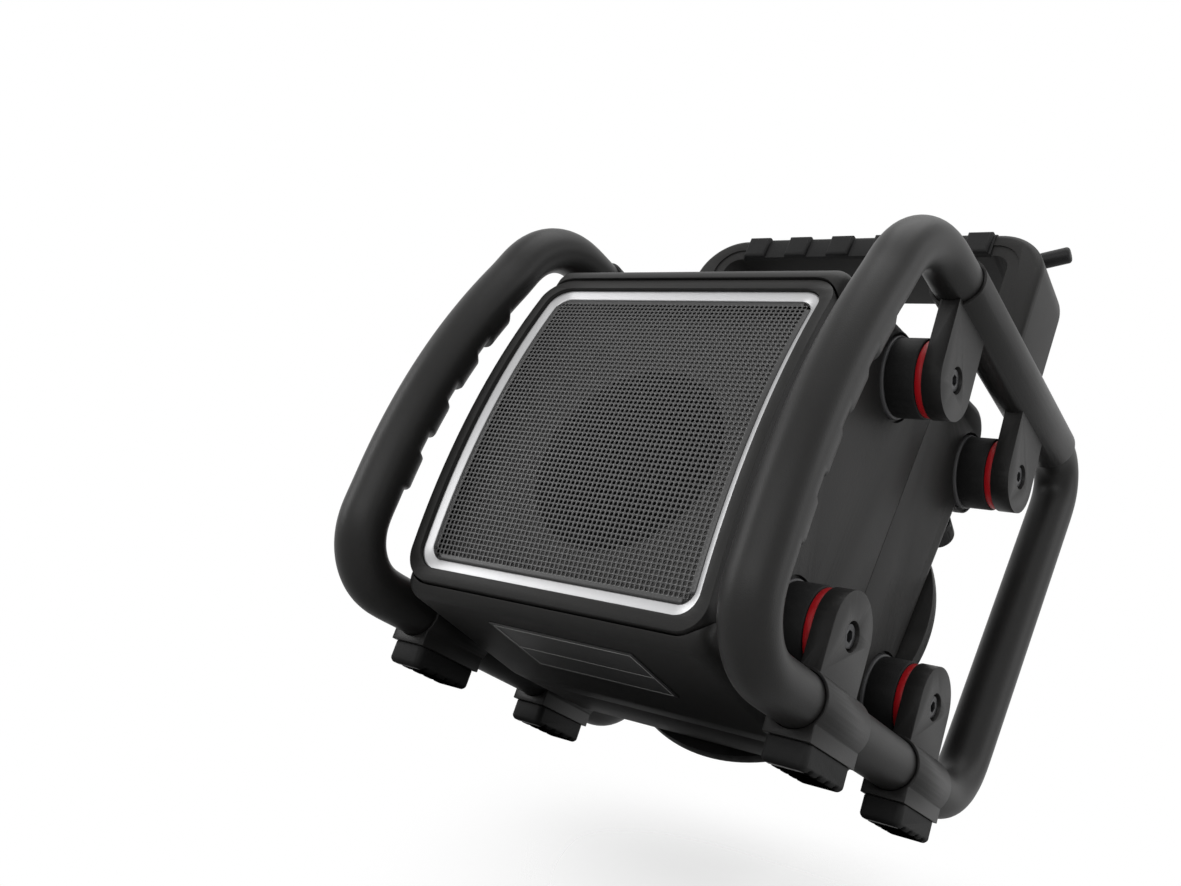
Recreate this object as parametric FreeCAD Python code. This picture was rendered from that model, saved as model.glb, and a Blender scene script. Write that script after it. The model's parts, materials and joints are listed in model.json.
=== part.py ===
import FreeCAD, Part
import math
import os

V = FreeCAD.Vector

# Jobsite radio in two roll cages. Millimetres. X is left to right, -Y is the grille side, Z is up.
# Shapes are first drawn with the grille side at negative Y as listed here, and are then moved along Y
# so that the middle of the cages lies at Y = 0. The feet stand on Z = 0.

# Roll cage: one closed loop of round tube on each side
tube_radius = 15.0
cage_x = 131.0
cage_front_low = (-342.4, 32.8)
cage_front_top = (-281.6, 301.9)
cage_rear_top = (44.1, 295.6)
cage_rear_low = (-26.5, 32.8)
bend_front_low = 36.7
bend_front_top = 58.6
bend_rear_top = 25.9
bend_rear_low = 40.0
front_run_bow = 10.5

# Finger ridges on the inner side of each front run
ridge_count = 4
ridge_length = 24.0
ridge_pitch = 38.0
ridge_radius = 11.5
ridge_stand_off = 4.5
ridge_round = 1.6
ridge_shift = 12.0

# Clamps round the cage tube
clamp_gap = 0.3
clamp_wall = 1.7
lower_clamp_length = 56.0
lower_front_y = -235.0
lower_rear_y = -104.0
upper_front_y = -191.0
upper_rear_y = -55.5
upper_clamp_front = -186.0
upper_clamp_rear = 4.0
foot_block_width = 26.6
foot_block_bottom = 13.3
tab_outer_x = 137.6
tab_thickness = 11.7
tab_radius = 24.0
lower_bolt_z = 74.7
upper_bolt_z = 246.0

# Rubber mounts between tab and housing
ring_thickness = 4.7
ring_radius = 23.0
ring_bore = 12.0
buffer_radius = 24.0
seat_thickness = 4.0
seat_radius = 25.0
pocket_clearance = 2.0
pocket_depth = 3.0
bolt_radius = 4.0
bolt_clearance = 0.3
bolt_head_radius = 6.5
bolt_head_height = 6.0
bolt_head_sink = 1.5
bolt_bore_radius = 8.2
bolt_socket = 6.0
bolt_socket_depth = 4.0
bolt_grip = 18.0

# Feet
foot_width = 25.0
foot_length = 52.0
foot_height = 13.3
foot_round = 4.0
tread_depth = 2.0
tread_width = 3.0
tread_count = 4

# Housing section, seen from the side
housing_half_width = 102.0
wall = 3.5
low_front = (-314.0, 34.0)
under_crease = (-200.0, 20.0)
low_rear = (-110.0, 20.0)
top_rear = (-35.0, 297.0)
top_front = (-284.0, 266.0)
front_bow = 12.5
round_front = 700.0
round_low_front = 12.0
round_low_rear = 13.0
round_top_rear = 20.0
round_top_front = 14.0
round_under = 30.0
side_round = 9.0
parting_y = -146.8
parting_z = 185.0
parting_lean = 11.1
parting_gap = 0.5
mount_boss_radius = 28.0
bolt_boss_radius = 8.0
bolt_boss_length = 24.0

# Grille side: frames and mesh on a bowed front
front_lean = 8.0
front_mid_y = -303.0
front_mid_z = 149.0
bow_radius = 465.0
bow_rise = 10.2
bezel_half = (101.5, 108.5)
bezel_corner = 17.0
bezel_rise = 7.0
bezel_shadow_gap = 1.2
silver_half = (95.0, 101.0)
silver_corner = 13.0
silver_drop = 2.5
frame_depth = 12.0
mesh_half = (89.5, 94.0)
mesh_corner = 9.0
mesh_drop = 4.5
mesh_thickness = 1.2
frame_fit = 0.15
backing_overlap = 0.5
baffle_drop = 30.0
baffle_thickness = 5.0

# Woofer behind the mesh
woofer_hole = 60.0
woofer_low = -6.0
woofer_rim_radius = 66.0
woofer_rim_thickness = 3.0
surround_outer = 59.0
surround_inner = 48.0
surround_thickness = 1.2
cone_gap = 0.4
cone_neck_radius = 15.0
cone_depth = 24.0
cone_thickness = 1.2
cap_height = 7.0
cap_overlap = 4.0
coil_depth = 4.0
coil_slot = 10.0
coil_play = 0.8
basket_depth = 40.0
magnet_radius = 40.0
magnet_height = 18.0

# Type plate, bare, on the underside behind the front edge
plate_length = 99.0
plate_width = 56.0
plate_thickness = 0.8
plate_from_front = 12.0

# Control side: round stepped rim with grille, display, keys and knobs
rim_mid_z = 122.0
rim_radii = (111.0, 106.0, 101.0)
rim_heights = (10.0, 18.0, 26.0)
rim_mount_gap = 0.5
rim_bore = 88.0
rim_foot_radius = 92.0
grille_thickness = 1.5
grille_rise = 6.0
grille_seat = 18.0
driver_hole = 62.0
radiator_rim = 80.0
radiator_cone = 50.0
radiator_roll = 5.0
radiator_thickness = 1.6
panel_half_width = 66.0
panel_low = 113.0
panel_high = 157.0
panel_corner = 8.0
panel_thickness = 2.2
panel_opening_margin = 4.0
window_half_width = 33.0
window_low = 118.0
window_high = 152.0
window_corner = 3.0
window_fit = 0.2
window_rise = 0.4
module_depth = 7.0
key_rows = (123.0, 135.0, 147.0)
key_x = 50.0
key_size = (15.0, 8.5)
key_corner = 2.5
key_gap = 0.3
key_rise = 2.2
key_depth = 6.0
key_travel = 1.5
board_drop = 11.5
board_thickness = 1.6
post_radius = 2.5
knob_x = 88.0
knob_up = 88.0
knob_radius = 11.5
knob_height = 17.0
knob_lift = 0.5
knob_top_radius = 10.3
knob_flutes = 16
knob_flute_radius = 1.0
spindle_radius = 3.0
spindle_fit = 0.05
spindle_length = 12.0
encoder_size = 14.0
encoder_depth = 9.0

# Battery bay with its door in the left wall
bay_front = -141.0
bay_rear = -103.0
bay_low = 112.0
bay_high = 168.0
bay_depth = 56.0
bay_wall = 1.8
bay_flange = 4.0
cell_radius = 7.2
cell_length = 50.5
cell_pitch_y = 15.6
cell_pitch_z = 16.4
cell_button_radius = 2.7
cell_button_height = 1.0
door_overlap = 3.5
door_thickness = 2.6
door_gap = 0.4
hinge_pin_radius = 1.5
hinge_barrel_radius = 3.2
hinge_out = 1.8
hinge_back = 3.0
hinge_slot = 0.4
hinge_knuckle = 11.0
hinge_fit = 0.05
latch_length = 22.0
latch_width = 7.0
latch_rise = 1.6

# Sockets in the left wall
socket_y = -232.0
aux_z = 168.0
aux_radius = 1.8
aux_collar = 5.0
aux_depth = 14.0
aux_rise = 1.0
inlet_z = 140.0
inlet_length = 22.0
inlet_height = 14.0
inlet_depth = 12.0
inlet_wall = 2.0
inlet_flange = 2.5

# Carry handle between the two upper clamps
handle_half = 136.5
handle_lean = 7.0
handle_mid_y = -84.0
handle_base_z = 300.0
handle_height = 105.5
handle_depth = 56.0
handle_corner = 36.0
handle_bar = 19.0
handle_leg = 24.5
opening_corner = 12.0
lip_width = 8.0
lip_depth = 1.2
handle_edge = 5.0
grip_half = 98.0
grip_skin = 3.0
grip_proud = 0.6
bump_count = 6
bump_pitch = 35.0
bump_width = 18.0
bump_rise = 4.0
bump_round = 2.5

# Telescopic antenna on the rear of the handle
antenna_x = -36.0
antenna_up = 93.5
antenna_angle = 17.0
foot_plate_radius = 7.0
foot_plate_height = 3.0
turret_radius = 6.5
turret_height = 16.0
turret_gap = 0.05
turret_stub_radius = 3.2
pivot_height = 10.0
slot_width = 4.2
tongue_width = 4.0
tongue_radius = 4.2
tongue_height = 5.0
pivot_radius = 1.2
pivot_fit = 0.05
section_start = 10.0
section_length = 130.0
section_radii = (3.6, 2.9, 2.2, 1.5)
section_play = 0.05
section_step = 2.0
tip_radius = 6.0
tip_length = 22.0
tip_round = 2.5

# Boards and transformer inside
main_board_half = (62.0, 24.0)
main_board_y = -144.0
main_board_z = 32.0
board_post_radius = 3.0
transformer_half = (23.0, 18.0)
transformer_height = 34.0
transformer_x = 32.0
screw_radius = 2.0
screw_head_radius = 4.0
screw_head_height = 2.4
screw_bore_depth = 1.4
screw_length = 14.0
screw_places = ((86.0, 148.0), (86.0, -86.0))

rear_lean = math.degrees(math.atan2(top_rear[0] - low_rear[0], top_rear[1] - low_rear[1]))
tab_inner_x = tab_outer_x - tab_thickness
seat_x = housing_half_width - pocket_depth
buffer_outer_x = tab_inner_x - ring_thickness
collar_radius = tube_radius + clamp_gap + clamp_wall
big = 1000.0


def add(a, b, scale=1.0):
    return (a[0] + b[0] * scale, a[1] + b[1] * scale)


def unit(a, b):
    length = math.hypot(b[0] - a[0], b[1] - a[1])
    return ((b[0] - a[0]) / length, (b[1] - a[1]) / length)


def corner(before, point, after, radius):
    """The start, middle and end of the arc that rounds one corner, and its centre."""
    back = unit(point, before)
    ahead = unit(point, after)
    half = math.acos(back[0] * ahead[0] + back[1] * ahead[1]) / 2.0
    reach = radius / math.tan(half)
    split = unit((0.0, 0.0), (back[0] + ahead[0], back[1] + ahead[1]))
    centre = add(point, split, radius / math.sin(half))
    middle = add(centre, split, -radius)
    return add(point, back, reach), middle, add(point, ahead, reach), centre


def bowed_middle(a, b, rise):
    """The middle of an arc from a to b that rises to the left of that direction."""
    along = unit(a, b)
    middle = ((a[0] + b[0]) / 2.0, (a[1] + b[1]) / 2.0)
    return (middle[0] - along[1] * rise, middle[1] + along[0] * rise)


def loop_edges(points, radii, to_space, bow=0.0):
    """Edges of a closed outline with rounded corners; the first side may be bowed."""
    count = len(points)
    corners = [
        corner(points[i - 1], points[i], points[(i + 1) % count], radii[i]) if radii[i] else None
        for i in range(count)
    ]
    edges = []
    for i in range(count):
        j = (i + 1) % count
        start = corners[i][2] if corners[i] else points[i]
        end = corners[j][0] if corners[j] else points[j]
        if i == 0 and bow:
            middle = bowed_middle(start, end, bow)
            edges.append(Part.Arc(to_space(start), to_space(middle), to_space(end)).toShape())
        else:
            edges.append(Part.makeLine(to_space(start), to_space(end)))
        if corners[j]:
            arc = [to_space(p) for p in corners[j][:3]]
            edges.append(Part.Arc(*arc).toShape())
    return edges


def side_point(p):
    return V(0.0, p[0], p[1])


def flat_point(p):
    return V(p[0], p[1], 0.0)


def box(x0, x1, y0, y1, z0, z1):
    return Part.makeBox(x1 - x0, y1 - y0, z1 - z0, V(x0, y0, z0))


def bar_x(radius, x0, x1, y, z):
    return Part.makeCylinder(radius, x1 - x0, V(x0, y, z), V(1, 0, 0))


def bar_y(radius, y0, y1, x, z):
    return Part.makeCylinder(radius, y1 - y0, V(x, y0, z), V(0, 1, 0))


def disc(radius, low, high, x=0.0, y=0.0):
    return Part.makeCylinder(radius, high - low, V(x, y, low), V(0, 0, 1))


def rounded_block(half, radius, low, high, middle=(0.0, 0.0)):
    """An upright block with rounded corners, drawn flat, from height low to high."""
    x, y = middle
    points = [
        (x - half[0], y - half[1]),
        (x + half[0], y - half[1]),
        (x + half[0], y + half[1]),
        (x - half[0], y + half[1]),
    ]
    face = Part.Face(Part.Wire(loop_edges(points, [radius] * 4, flat_point)))
    face.translate(V(0, 0, low))
    return face.extrude(V(0, 0, high - low))


def turned(points):
    """A solid turned about the upright axis from (radius, height) points."""
    line = [V(r, 0, h) for r, h in points]
    face = Part.Face(Part.makePolygon(line + [line[0]]))
    return face.revolve(V(0, 0, 0), V(0, 0, 1), 360.0)


def side_plate(points, radii, x0, x1, bow=0.0):
    face = Part.Face(Part.Wire(loop_edges(points, radii, side_point, bow)))
    face.translate(V(x0, 0, 0))
    return face.extrude(V(x1 - x0, 0, 0))


def mirrored(shape):
    return shape.mirror(V(0, 0, 0), V(1, 0, 0))


def in_frame(shape, placement):
    moved = shape.copy()
    moved.Placement = placement.multiply(moved.Placement)
    return moved


def whole(shapes):
    joined = shapes[0].multiFuse(shapes[1:]) if len(shapes) > 1 else shapes[0]
    return joined.removeSplitter()


# Drawing frames: X right, Y up along the face and Z out of it
front_frame = FreeCAD.Placement(
    V(0, front_mid_y, front_mid_z), FreeCAD.Rotation(V(1, 0, 0), 90.0 - front_lean)
)
rear_up = V(0, math.sin(math.radians(rear_lean)), math.cos(math.radians(rear_lean)))
rear_share = (rim_mid_z - low_rear[1]) / (top_rear[1] - low_rear[1])
rear_mid_y = low_rear[0] + rear_share * (top_rear[0] - low_rear[0])
rear_frame = FreeCAD.Placement(
    V(0, rear_mid_y, rim_mid_z),
    FreeCAD.Rotation(rear_up, 180.0).multiply(FreeCAD.Rotation(V(1, 0, 0), 90.0 - rear_lean)),
)
handle_frame = FreeCAD.Placement(
    V(0, handle_mid_y, handle_base_z), FreeCAD.Rotation(V(1, 0, 0), 90.0 - handle_lean)
)


def cage_corners():
    points = [cage_front_low, cage_front_top, cage_rear_top, cage_rear_low]
    radii = [bend_front_low, bend_front_top, bend_rear_top, bend_rear_low]
    return [
        corner(points[i - 1], points[i], points[(i + 1) % 4], radii[i]) for i in range(4)
    ]


def front_run_arc():
    """Centre and radius of the bowed front run's middle line, in the side view."""
    corners = cage_corners()
    start = corners[0][2]
    end = corners[1][0]
    half = math.hypot(end[0] - start[0], end[1] - start[1]) / 2.0
    radius = (half * half + front_run_bow * front_run_bow) / (2.0 * front_run_bow)
    top = bowed_middle(start, end, front_run_bow)
    along = unit(start, end)
    centre = (top[0] + along[1] * radius, top[1] - along[0] * radius)
    return centre, radius, half


def cage_tube():
    """One closed tube in the plane X = 0: straight runs, round bends and the bowed front run."""
    corners = cage_corners()
    radii = [bend_front_low, bend_front_top, bend_rear_top, bend_rear_low]
    pieces = []
    for i in range(4):
        start, _, end, centre = corners[i]
        pieces.append(bent_rod(tube_radius, centre, radii[i], start, end))
        if i:
            ahead = corners[(i + 1) % 4][0]
            length = math.hypot(ahead[0] - end[0], ahead[1] - end[1])
            step = unit(end, ahead)
            pieces.append(
                Part.makeCylinder(tube_radius, length, side_point(end), V(0, step[0], step[1]))
            )
    centre, radius, _ = front_run_arc()
    pieces.append(bent_rod(tube_radius, centre, radius, corners[0][2], corners[1][0]))
    return pieces


def bent_rod(rod_radius, centre, radius, start, end):
    first = unit(centre, start)
    last = unit(centre, end)
    turn = math.degrees(math.atan2(first[0] * last[1] - first[1] * last[0],
                                   first[0] * last[0] + first[1] * last[1]))
    tangent = V(0, -first[1], first[0])
    ring = Part.Wire(Part.makeCircle(rod_radius, side_point(add(centre, first, radius)), tangent))
    return Part.Face(ring).revolve(V(0, centre[0], centre[1]), V(1, 0, 0), turn)


def finger_ridges():
    """Ridges in line on the rear side of the front run, a little thinner than the tube."""
    centre, radius, _ = front_run_arc()
    middle = math.atan2(front_mid_z + ridge_shift - centre[1], -math.sqrt(
        radius * radius - (front_mid_z + ridge_shift - centre[1]) ** 2))
    inner = radius - (tube_radius - ridge_radius) - ridge_stand_off
    ridges = []
    for k in range(ridge_count):
        at = middle - (k - (ridge_count - 1) / 2.0) * ridge_pitch / radius
        half = ridge_length / radius / 2.0
        ends = [
            (centre[0] + inner * math.cos(a), centre[1] + inner * math.sin(a))
            for a in (at + half, at - half)
        ]
        rod = bent_rod(ridge_radius, centre, inner, *ends)
        round_edges = [e for e in rod.Edges if e.Closed and e.Length < 7.0 * ridge_radius]
        ridges.append(rod.makeFillet(ridge_round, round_edges))
    return ridges


def cage():
    return whole(cage_tube() + finger_ridges())


def tab(y, z, towards):
    """A thick hanging or standing lug with a full round end, bored and counterbored."""
    lug = bar_x(tab_radius, tab_inner_x, tab_outer_x, y, z)
    low, high = sorted((z, towards))
    web = box(tab_inner_x, tab_outer_x, y - tab_radius, y + tab_radius, low, high)
    return lug.fuse(web).removeSplitter()


def tab_bores(y, z):
    shank = bar_x(bolt_radius + bolt_clearance, tab_inner_x - 1.0, tab_outer_x + 1.0, y, z)
    sink = bolt_head_height + bolt_head_sink
    head = bar_x(bolt_bore_radius, tab_outer_x - sink, tab_outer_x + 1.0, y, z)
    return shank.fuse(head)


def lower_clamp(y):
    axis_z = cage_front_low[1]
    y0 = y - lower_clamp_length / 2.0
    y1 = y + lower_clamp_length / 2.0
    collar = bar_y(collar_radius, y0, y1, cage_x, axis_z)
    half = foot_block_width / 2.0
    block = box(cage_x - half, cage_x + half, y0, y1, foot_block_bottom, axis_z)
    lug = tab(y, lower_bolt_z, axis_z)
    solid = whole([collar, block, lug])
    bore = bar_y(tube_radius + clamp_gap, y0 - 1.0, y1 + 1.0, cage_x, axis_z)
    return solid.cut(bore).cut(tab_bores(y, lower_bolt_z))


def top_run_height(y):
    share = (y - cage_front_top[0]) / (cage_rear_top[0] - cage_front_top[0])
    return cage_front_top[1] + share * (cage_rear_top[1] - cage_front_top[1])


def top_run_rod(radius, y0, y1):
    start = V(cage_x, y0, top_run_height(y0))
    end = V(cage_x, y1, top_run_height(y1))
    return Part.makeCylinder(radius, (end - start).Length, start, end - start)


def upper_clamp():
    rear = upper_clamp_rear
    sleeve = top_run_rod(collar_radius, upper_clamp_front - tab_radius, rear)
    lugs = [tab(y, upper_bolt_z, top_run_height(y)) for y in (upper_front_y, upper_rear_y)]
    solid = whole([sleeve] + lugs)
    bore = top_run_rod(tube_radius + clamp_gap, upper_clamp_front - big / 5.0, rear + big / 5.0)
    solid = solid.cut(bore)
    for y in (upper_front_y, upper_rear_y):
        solid = solid.cut(tab_bores(y, upper_bolt_z))
    return solid


def foot(y):
    """A rubber foot under the block, with a ridged tread cut across its lower face."""
    half_x = foot_width / 2.0
    half_y = foot_length / 2.0
    body = rounded_block((half_x, half_y), foot_round, 0.0, foot_height, (cage_x, y))
    lowest = [e for e in body.Edges if e.BoundBox.ZMax < 0.01]
    body = body.makeChamfer(foot_round / 2.0, lowest)
    pitch = foot_length / (tread_count + 1)
    for k in range(tread_count):
        at = y - half_y + pitch * (k + 1)
        groove = box(cage_x - big / 2.0, cage_x + big / 2.0,
                     at - tread_width / 2.0, at + tread_width / 2.0, -1.0, tread_depth)
        body = body.cut(groove)
    return body


MOUNTS = [
    (lower_front_y, lower_bolt_z),
    (lower_rear_y, lower_bolt_z),
    (upper_front_y, upper_bolt_z),
    (upper_rear_y, upper_bolt_z),
]


def both_sides(make):
    right = [make(y, z) for y, z in MOUNTS]
    return Part.makeCompound(right + [mirrored(s) for s in right])


def damper_ring(y, z):
    ring = bar_x(ring_radius, buffer_outer_x, tab_inner_x, y, z)
    return ring.cut(bar_x(ring_bore, buffer_outer_x - 1.0, tab_inner_x + 1.0, y, z))


def buffer_block(y, z):
    start = seat_x + seat_thickness
    block = bar_x(buffer_radius, start, buffer_outer_x, y, z)
    nose = bar_x(ring_bore - 0.3, buffer_outer_x, tab_inner_x, y, z)
    bore = bar_x(bolt_radius + bolt_clearance, start - 1.0, tab_inner_x + 1.0, y, z)
    return block.fuse(nose).removeSplitter().cut(bore)


def seat_disc(y, z):
    block = bar_x(seat_radius, seat_x, seat_x + seat_thickness, y, z)
    return block.cut(bar_x(bolt_radius + bolt_clearance, seat_x - 1.0, big, y, z))


def bolt(y, z):
    head_end = tab_outer_x - bolt_head_sink
    head_start = head_end - bolt_head_height
    head = bar_x(bolt_head_radius, head_start, head_end, y, z)
    shank = bar_x(bolt_radius, seat_x - bolt_grip, head_start, y, z)
    flats = Part.makePolygon([
        V(head_end - bolt_socket_depth,
          y + bolt_socket / math.sqrt(3.0) * math.cos(math.radians(60.0 * k)),
          z + bolt_socket / math.sqrt(3.0) * math.sin(math.radians(60.0 * k)))
        for k in range(7)
    ])
    key_hole = Part.Face(flats).extrude(V(bolt_socket_depth + 1.0, 0, 0))
    return head.fuse(shank).removeSplitter().cut(key_hole)


def housing_outline(inset):
    """The section's corner points moved inwards by the wall."""
    points = [low_front, bowed_middle(low_front, top_front, front_bow), top_front, top_rear,
              low_rear, under_crease]
    count = len(points)
    moved = []
    for i in range(count):
        a = unit(points[i - 1], points[i])
        b = unit(points[i], points[(i + 1) % count])
        normal_a = (a[1], -a[0])
        normal_b = (b[1], -b[0])
        share = inset / (1.0 + normal_a[0] * normal_b[0] + normal_a[1] * normal_b[1])
        moved.append((points[i][0] + (normal_a[0] + normal_b[0]) * share,
                      points[i][1] + (normal_a[1] + normal_b[1]) * share))
    return moved


def housing_block(inset):
    rounds = [round_low_front, round_front, round_top_front, round_top_rear, round_low_rear,
              round_under]
    radii = [max(r - inset, 1.0) for r in rounds]
    half = housing_half_width - inset
    return side_plate(housing_outline(inset), radii, -half, half)


def rounded_housing():
    """The housing's outer form with its two side outlines rounded."""
    solid = housing_block(0.0)
    edges = [e for e in solid.Edges
             if abs(abs(e.BoundBox.XMin) - housing_half_width) < 0.01 and e.BoundBox.XLength < 0.01]
    return solid.makeFillet(side_round, edges)


def mount_lug(y, z):
    """The round boss behind one rubber mount, inside the wall or standing out of it."""
    inner = seat_x - bolt_boss_length
    pad = bar_x(mount_boss_radius, seat_x - wall, seat_x + pocket_depth / 2.0, y, z)
    return pad.fuse(bar_x(bolt_boss_radius, inner, seat_x - wall, y, z)).removeSplitter()


def shell_blank():
    outer = rounded_housing()
    inner = housing_block(wall)
    hollow = outer.cut(inner)
    lugs = []
    cuts = []
    for y, z in MOUNTS:
        lug = mount_lug(y, z)
        pocket = bar_x(seat_radius + pocket_clearance, seat_x, big, y, z)
        bore = bar_x(bolt_radius + 0.1, seat_x - bolt_grip - 1.0, big, y, z)
        lugs += [lug, mirrored(lug)]
        cuts += [pocket, mirrored(pocket), bore, mirrored(bore)]
    solid = hollow.multiFuse(lugs)
    for tool in cuts:
        solid = solid.cut(tool)
    return solid.removeSplitter()


def half_space(front):
    """Everything in front of the parting plane, or behind it."""
    start = parting_gap / 2.0
    block = box(-big, big, start, big, -big, big)
    if front:
        block = box(-big, big, -big, -start, -big, big)
    block.rotate(V(0, 0, 0), V(1, 0, 0), -parting_lean)
    block.translate(V(0, parting_y, parting_z))
    return block


def bowed_band(outer_drop, inner_drop):
    """The layer between two bowed surfaces, measured back from the bezel's front surface."""
    outer = bow_radius - outer_drop
    inner = bow_radius - inner_drop
    axis_height = bow_rise - bow_radius
    band = Part.makeCylinder(outer, 2.0 * big, V(-big, 0, axis_height), V(1, 0, 0))
    return band.cut(Part.makeCylinder(inner, 2.0 * big, V(-big, 0, axis_height), V(1, 0, 0)))


def front_piece(half, radius, hole_half, hole_radius, outer_drop, inner_drop):
    piece = rounded_block(half, radius, -big / 10.0, big / 10.0)
    if hole_half:
        piece = piece.cut(rounded_block(hole_half, hole_radius, -big / 5.0, big / 5.0))
    return piece.common(bowed_band(outer_drop, inner_drop))


def smaller(half, by):
    return (half[0] - by, half[1] - by)


def bezel():
    ring = front_piece(bezel_half, bezel_corner, silver_half, silver_corner, 0.0, frame_depth)
    return in_frame(ring, front_frame)


def silver_frame():
    ring = front_piece(
        smaller(silver_half, frame_fit), silver_corner, mesh_half, mesh_corner,
        silver_drop, frame_depth
    )
    return in_frame(ring, front_frame)


def mesh():
    sheet = front_piece(
        smaller(mesh_half, frame_fit), mesh_corner, None, None,
        mesh_drop, mesh_drop + mesh_thickness
    )
    return in_frame(sheet, front_frame)


def front_shell(blank):
    shell = blank.common(half_space(True))
    seat = rounded_block(
        (bezel_half[0] + bezel_shadow_gap, bezel_half[1] + bezel_shadow_gap),
        bezel_corner + bezel_shadow_gap, -big / 10.0, big / 10.0
    ).common(bowed_band(-big / 20.0, frame_depth))
    hole = rounded_block(mesh_half, mesh_corner, -baffle_drop, big / 10.0)
    shell = shell.cut(in_frame(seat, front_frame)).cut(in_frame(hole, front_frame))
    shell = shell.fuse(in_frame(bezel_backing(), front_frame).common(housing_block(wall - backing_overlap)))
    for x0, x1, y, z, half_y, half_z in wall_holes_front():
        shell = shell.cut(box(x0, x1, y - half_y, y + half_y, z - half_z, z + half_z))
    shell = shell.cut(bar_x(aux_collar + 0.2, -big, 0.0, socket_y, aux_z))
    return whole([shell])


def bezel_backing():
    """The inner frame that carries the bezel from behind, round the mesh opening."""
    ring = rounded_block((bezel_half[0] + 4.0, bezel_half[1] + 6.0), bezel_corner,
                         -big / 10.0, big / 10.0)
    ring = ring.cut(rounded_block(mesh_half, mesh_corner, -big / 5.0, big / 5.0))
    return ring.common(bowed_band(frame_depth, frame_depth + wall))


def wall_holes_front():
    half_y = inlet_length / 2.0 + 0.2
    half_z = inlet_height / 2.0 + 0.2
    return [(-big, -housing_half_width / 2.0, socket_y, inlet_z, half_y, half_z)]


def baffle():
    high = bow_rise - baffle_drop
    plate = rounded_block((bezel_half[0] - 6.0, bezel_half[1] - 4.0), bezel_corner,
                          high - baffle_thickness, high)
    plate = plate.cut(disc(woofer_hole, -big, big, 0.0, woofer_low))
    rib = rounded_block((bezel_half[0] - 6.0, bezel_half[1] - 4.0), bezel_corner,
                        high - baffle_thickness, big / 10.0)
    rib = rib.cut(rounded_block(smaller(mesh_half, -2.0), mesh_corner, -big / 5.0, big / 5.0))
    rib = rib.common(bowed_band(frame_depth + wall, baffle_drop + frame_depth))
    return in_frame(plate.fuse(rib).removeSplitter(), front_frame)


def woofer_frame():
    at = front_frame.multVec(V(0, woofer_low, bow_rise - baffle_drop - baffle_thickness))
    return FreeCAD.Placement(at, front_frame.Rotation)


def driver_basket(rim_radius):
    """Pressed basket: flat rim, slanting wall and a flat back, open in the middle."""
    wall_thickness = 2.0
    rim = woofer_rim_thickness
    points = [
        (surround_outer + 0.3, 0.0), (rim_radius, 0.0), (rim_radius, -rim),
        (surround_outer, -rim), (magnet_radius, -basket_depth), (cone_neck_radius + 2.0, -basket_depth),
        (cone_neck_radius + 2.0, -basket_depth + wall_thickness),
        (magnet_radius - 1.0, -basket_depth + wall_thickness),
        (surround_outer - 3.0, -rim - wall_thickness),
        (surround_outer - 3.0, -rim + 0.8),
        (surround_outer + 0.3, -rim + 0.8),
    ]
    return turned(points)


def driver_surround():
    """A half-round rubber roll between basket and cone."""
    middle = (surround_outer + surround_inner) / 2.0
    reach = (surround_outer - surround_inner) / 2.0 - 2.0
    low = -woofer_rim_thickness + 0.8
    steps = 9
    outer = [(middle + reach * math.cos(math.pi * k / steps),
              low + surround_thickness + reach * math.sin(math.pi * k / steps))
             for k in range(steps + 1)]
    thin = reach - surround_thickness
    inner = [(middle + thin * math.cos(math.pi * (steps - k) / steps),
              low + surround_thickness + thin * math.sin(math.pi * (steps - k) / steps))
             for k in range(steps + 1)]
    rim_out = [(surround_outer, low), (surround_outer, low + surround_thickness)]
    rim_in = [(surround_inner, low + surround_thickness), (surround_inner, low)]
    return turned(rim_out + outer + rim_in + [(middle - thin, low)] + inner + [(middle + thin, low)])


def driver_cone():
    """Paper cone with its dust cap and the former of the voice coil."""
    low = -woofer_rim_thickness + 0.8
    edge = surround_inner - cone_gap
    neck = low - cone_depth
    points = [
        (edge, low + cone_thickness), (edge, low), (edge - 3.0, low),
        (cone_neck_radius, neck),
        (cone_neck_radius, -basket_depth - coil_depth),
        (cone_neck_radius - cone_thickness, -basket_depth - coil_depth),
        (cone_neck_radius - cone_thickness, neck + cone_thickness),
        (edge - 4.0, low + cone_thickness),
    ]
    cone = turned(points)
    base = cone_neck_radius + cap_overlap
    run = edge - 4.0 - cone_neck_radius + cone_thickness
    slope = cone_depth / run
    seat = neck + cone_thickness + (cap_overlap + cone_thickness) * slope - 0.6
    radius = (base * base + cap_height * cap_height) / (2.0 * cap_height)
    outer = Part.makeSphere(radius, V(0, 0, seat + cap_height - radius))
    inner = Part.makeSphere(radius - cone_thickness, V(0, 0, seat + cap_height - radius))
    cap = outer.cut(inner).common(disc(base, seat, big))
    return cone.fuse(cap).removeSplitter()


def driver_magnet():
    magnet = disc(magnet_radius, -basket_depth - magnet_height, -basket_depth)
    slot = disc(cone_neck_radius + coil_play, -basket_depth - coil_slot, 0.0)
    core = disc(cone_neck_radius - cone_thickness - coil_play, -big, big)
    return magnet.cut(slot.cut(core))


def type_plate():
    along = unit(low_front, under_crease)
    start = add(low_front, along, plate_from_front + round_low_front)
    end = add(start, along, plate_width)
    down = (along[1], -along[0])
    points = [start, end, add(end, down, plate_thickness), add(start, down, plate_thickness)]
    return side_plate(points, [0, 0, 0, 0], -plate_length / 2.0, plate_length / 2.0)


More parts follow.
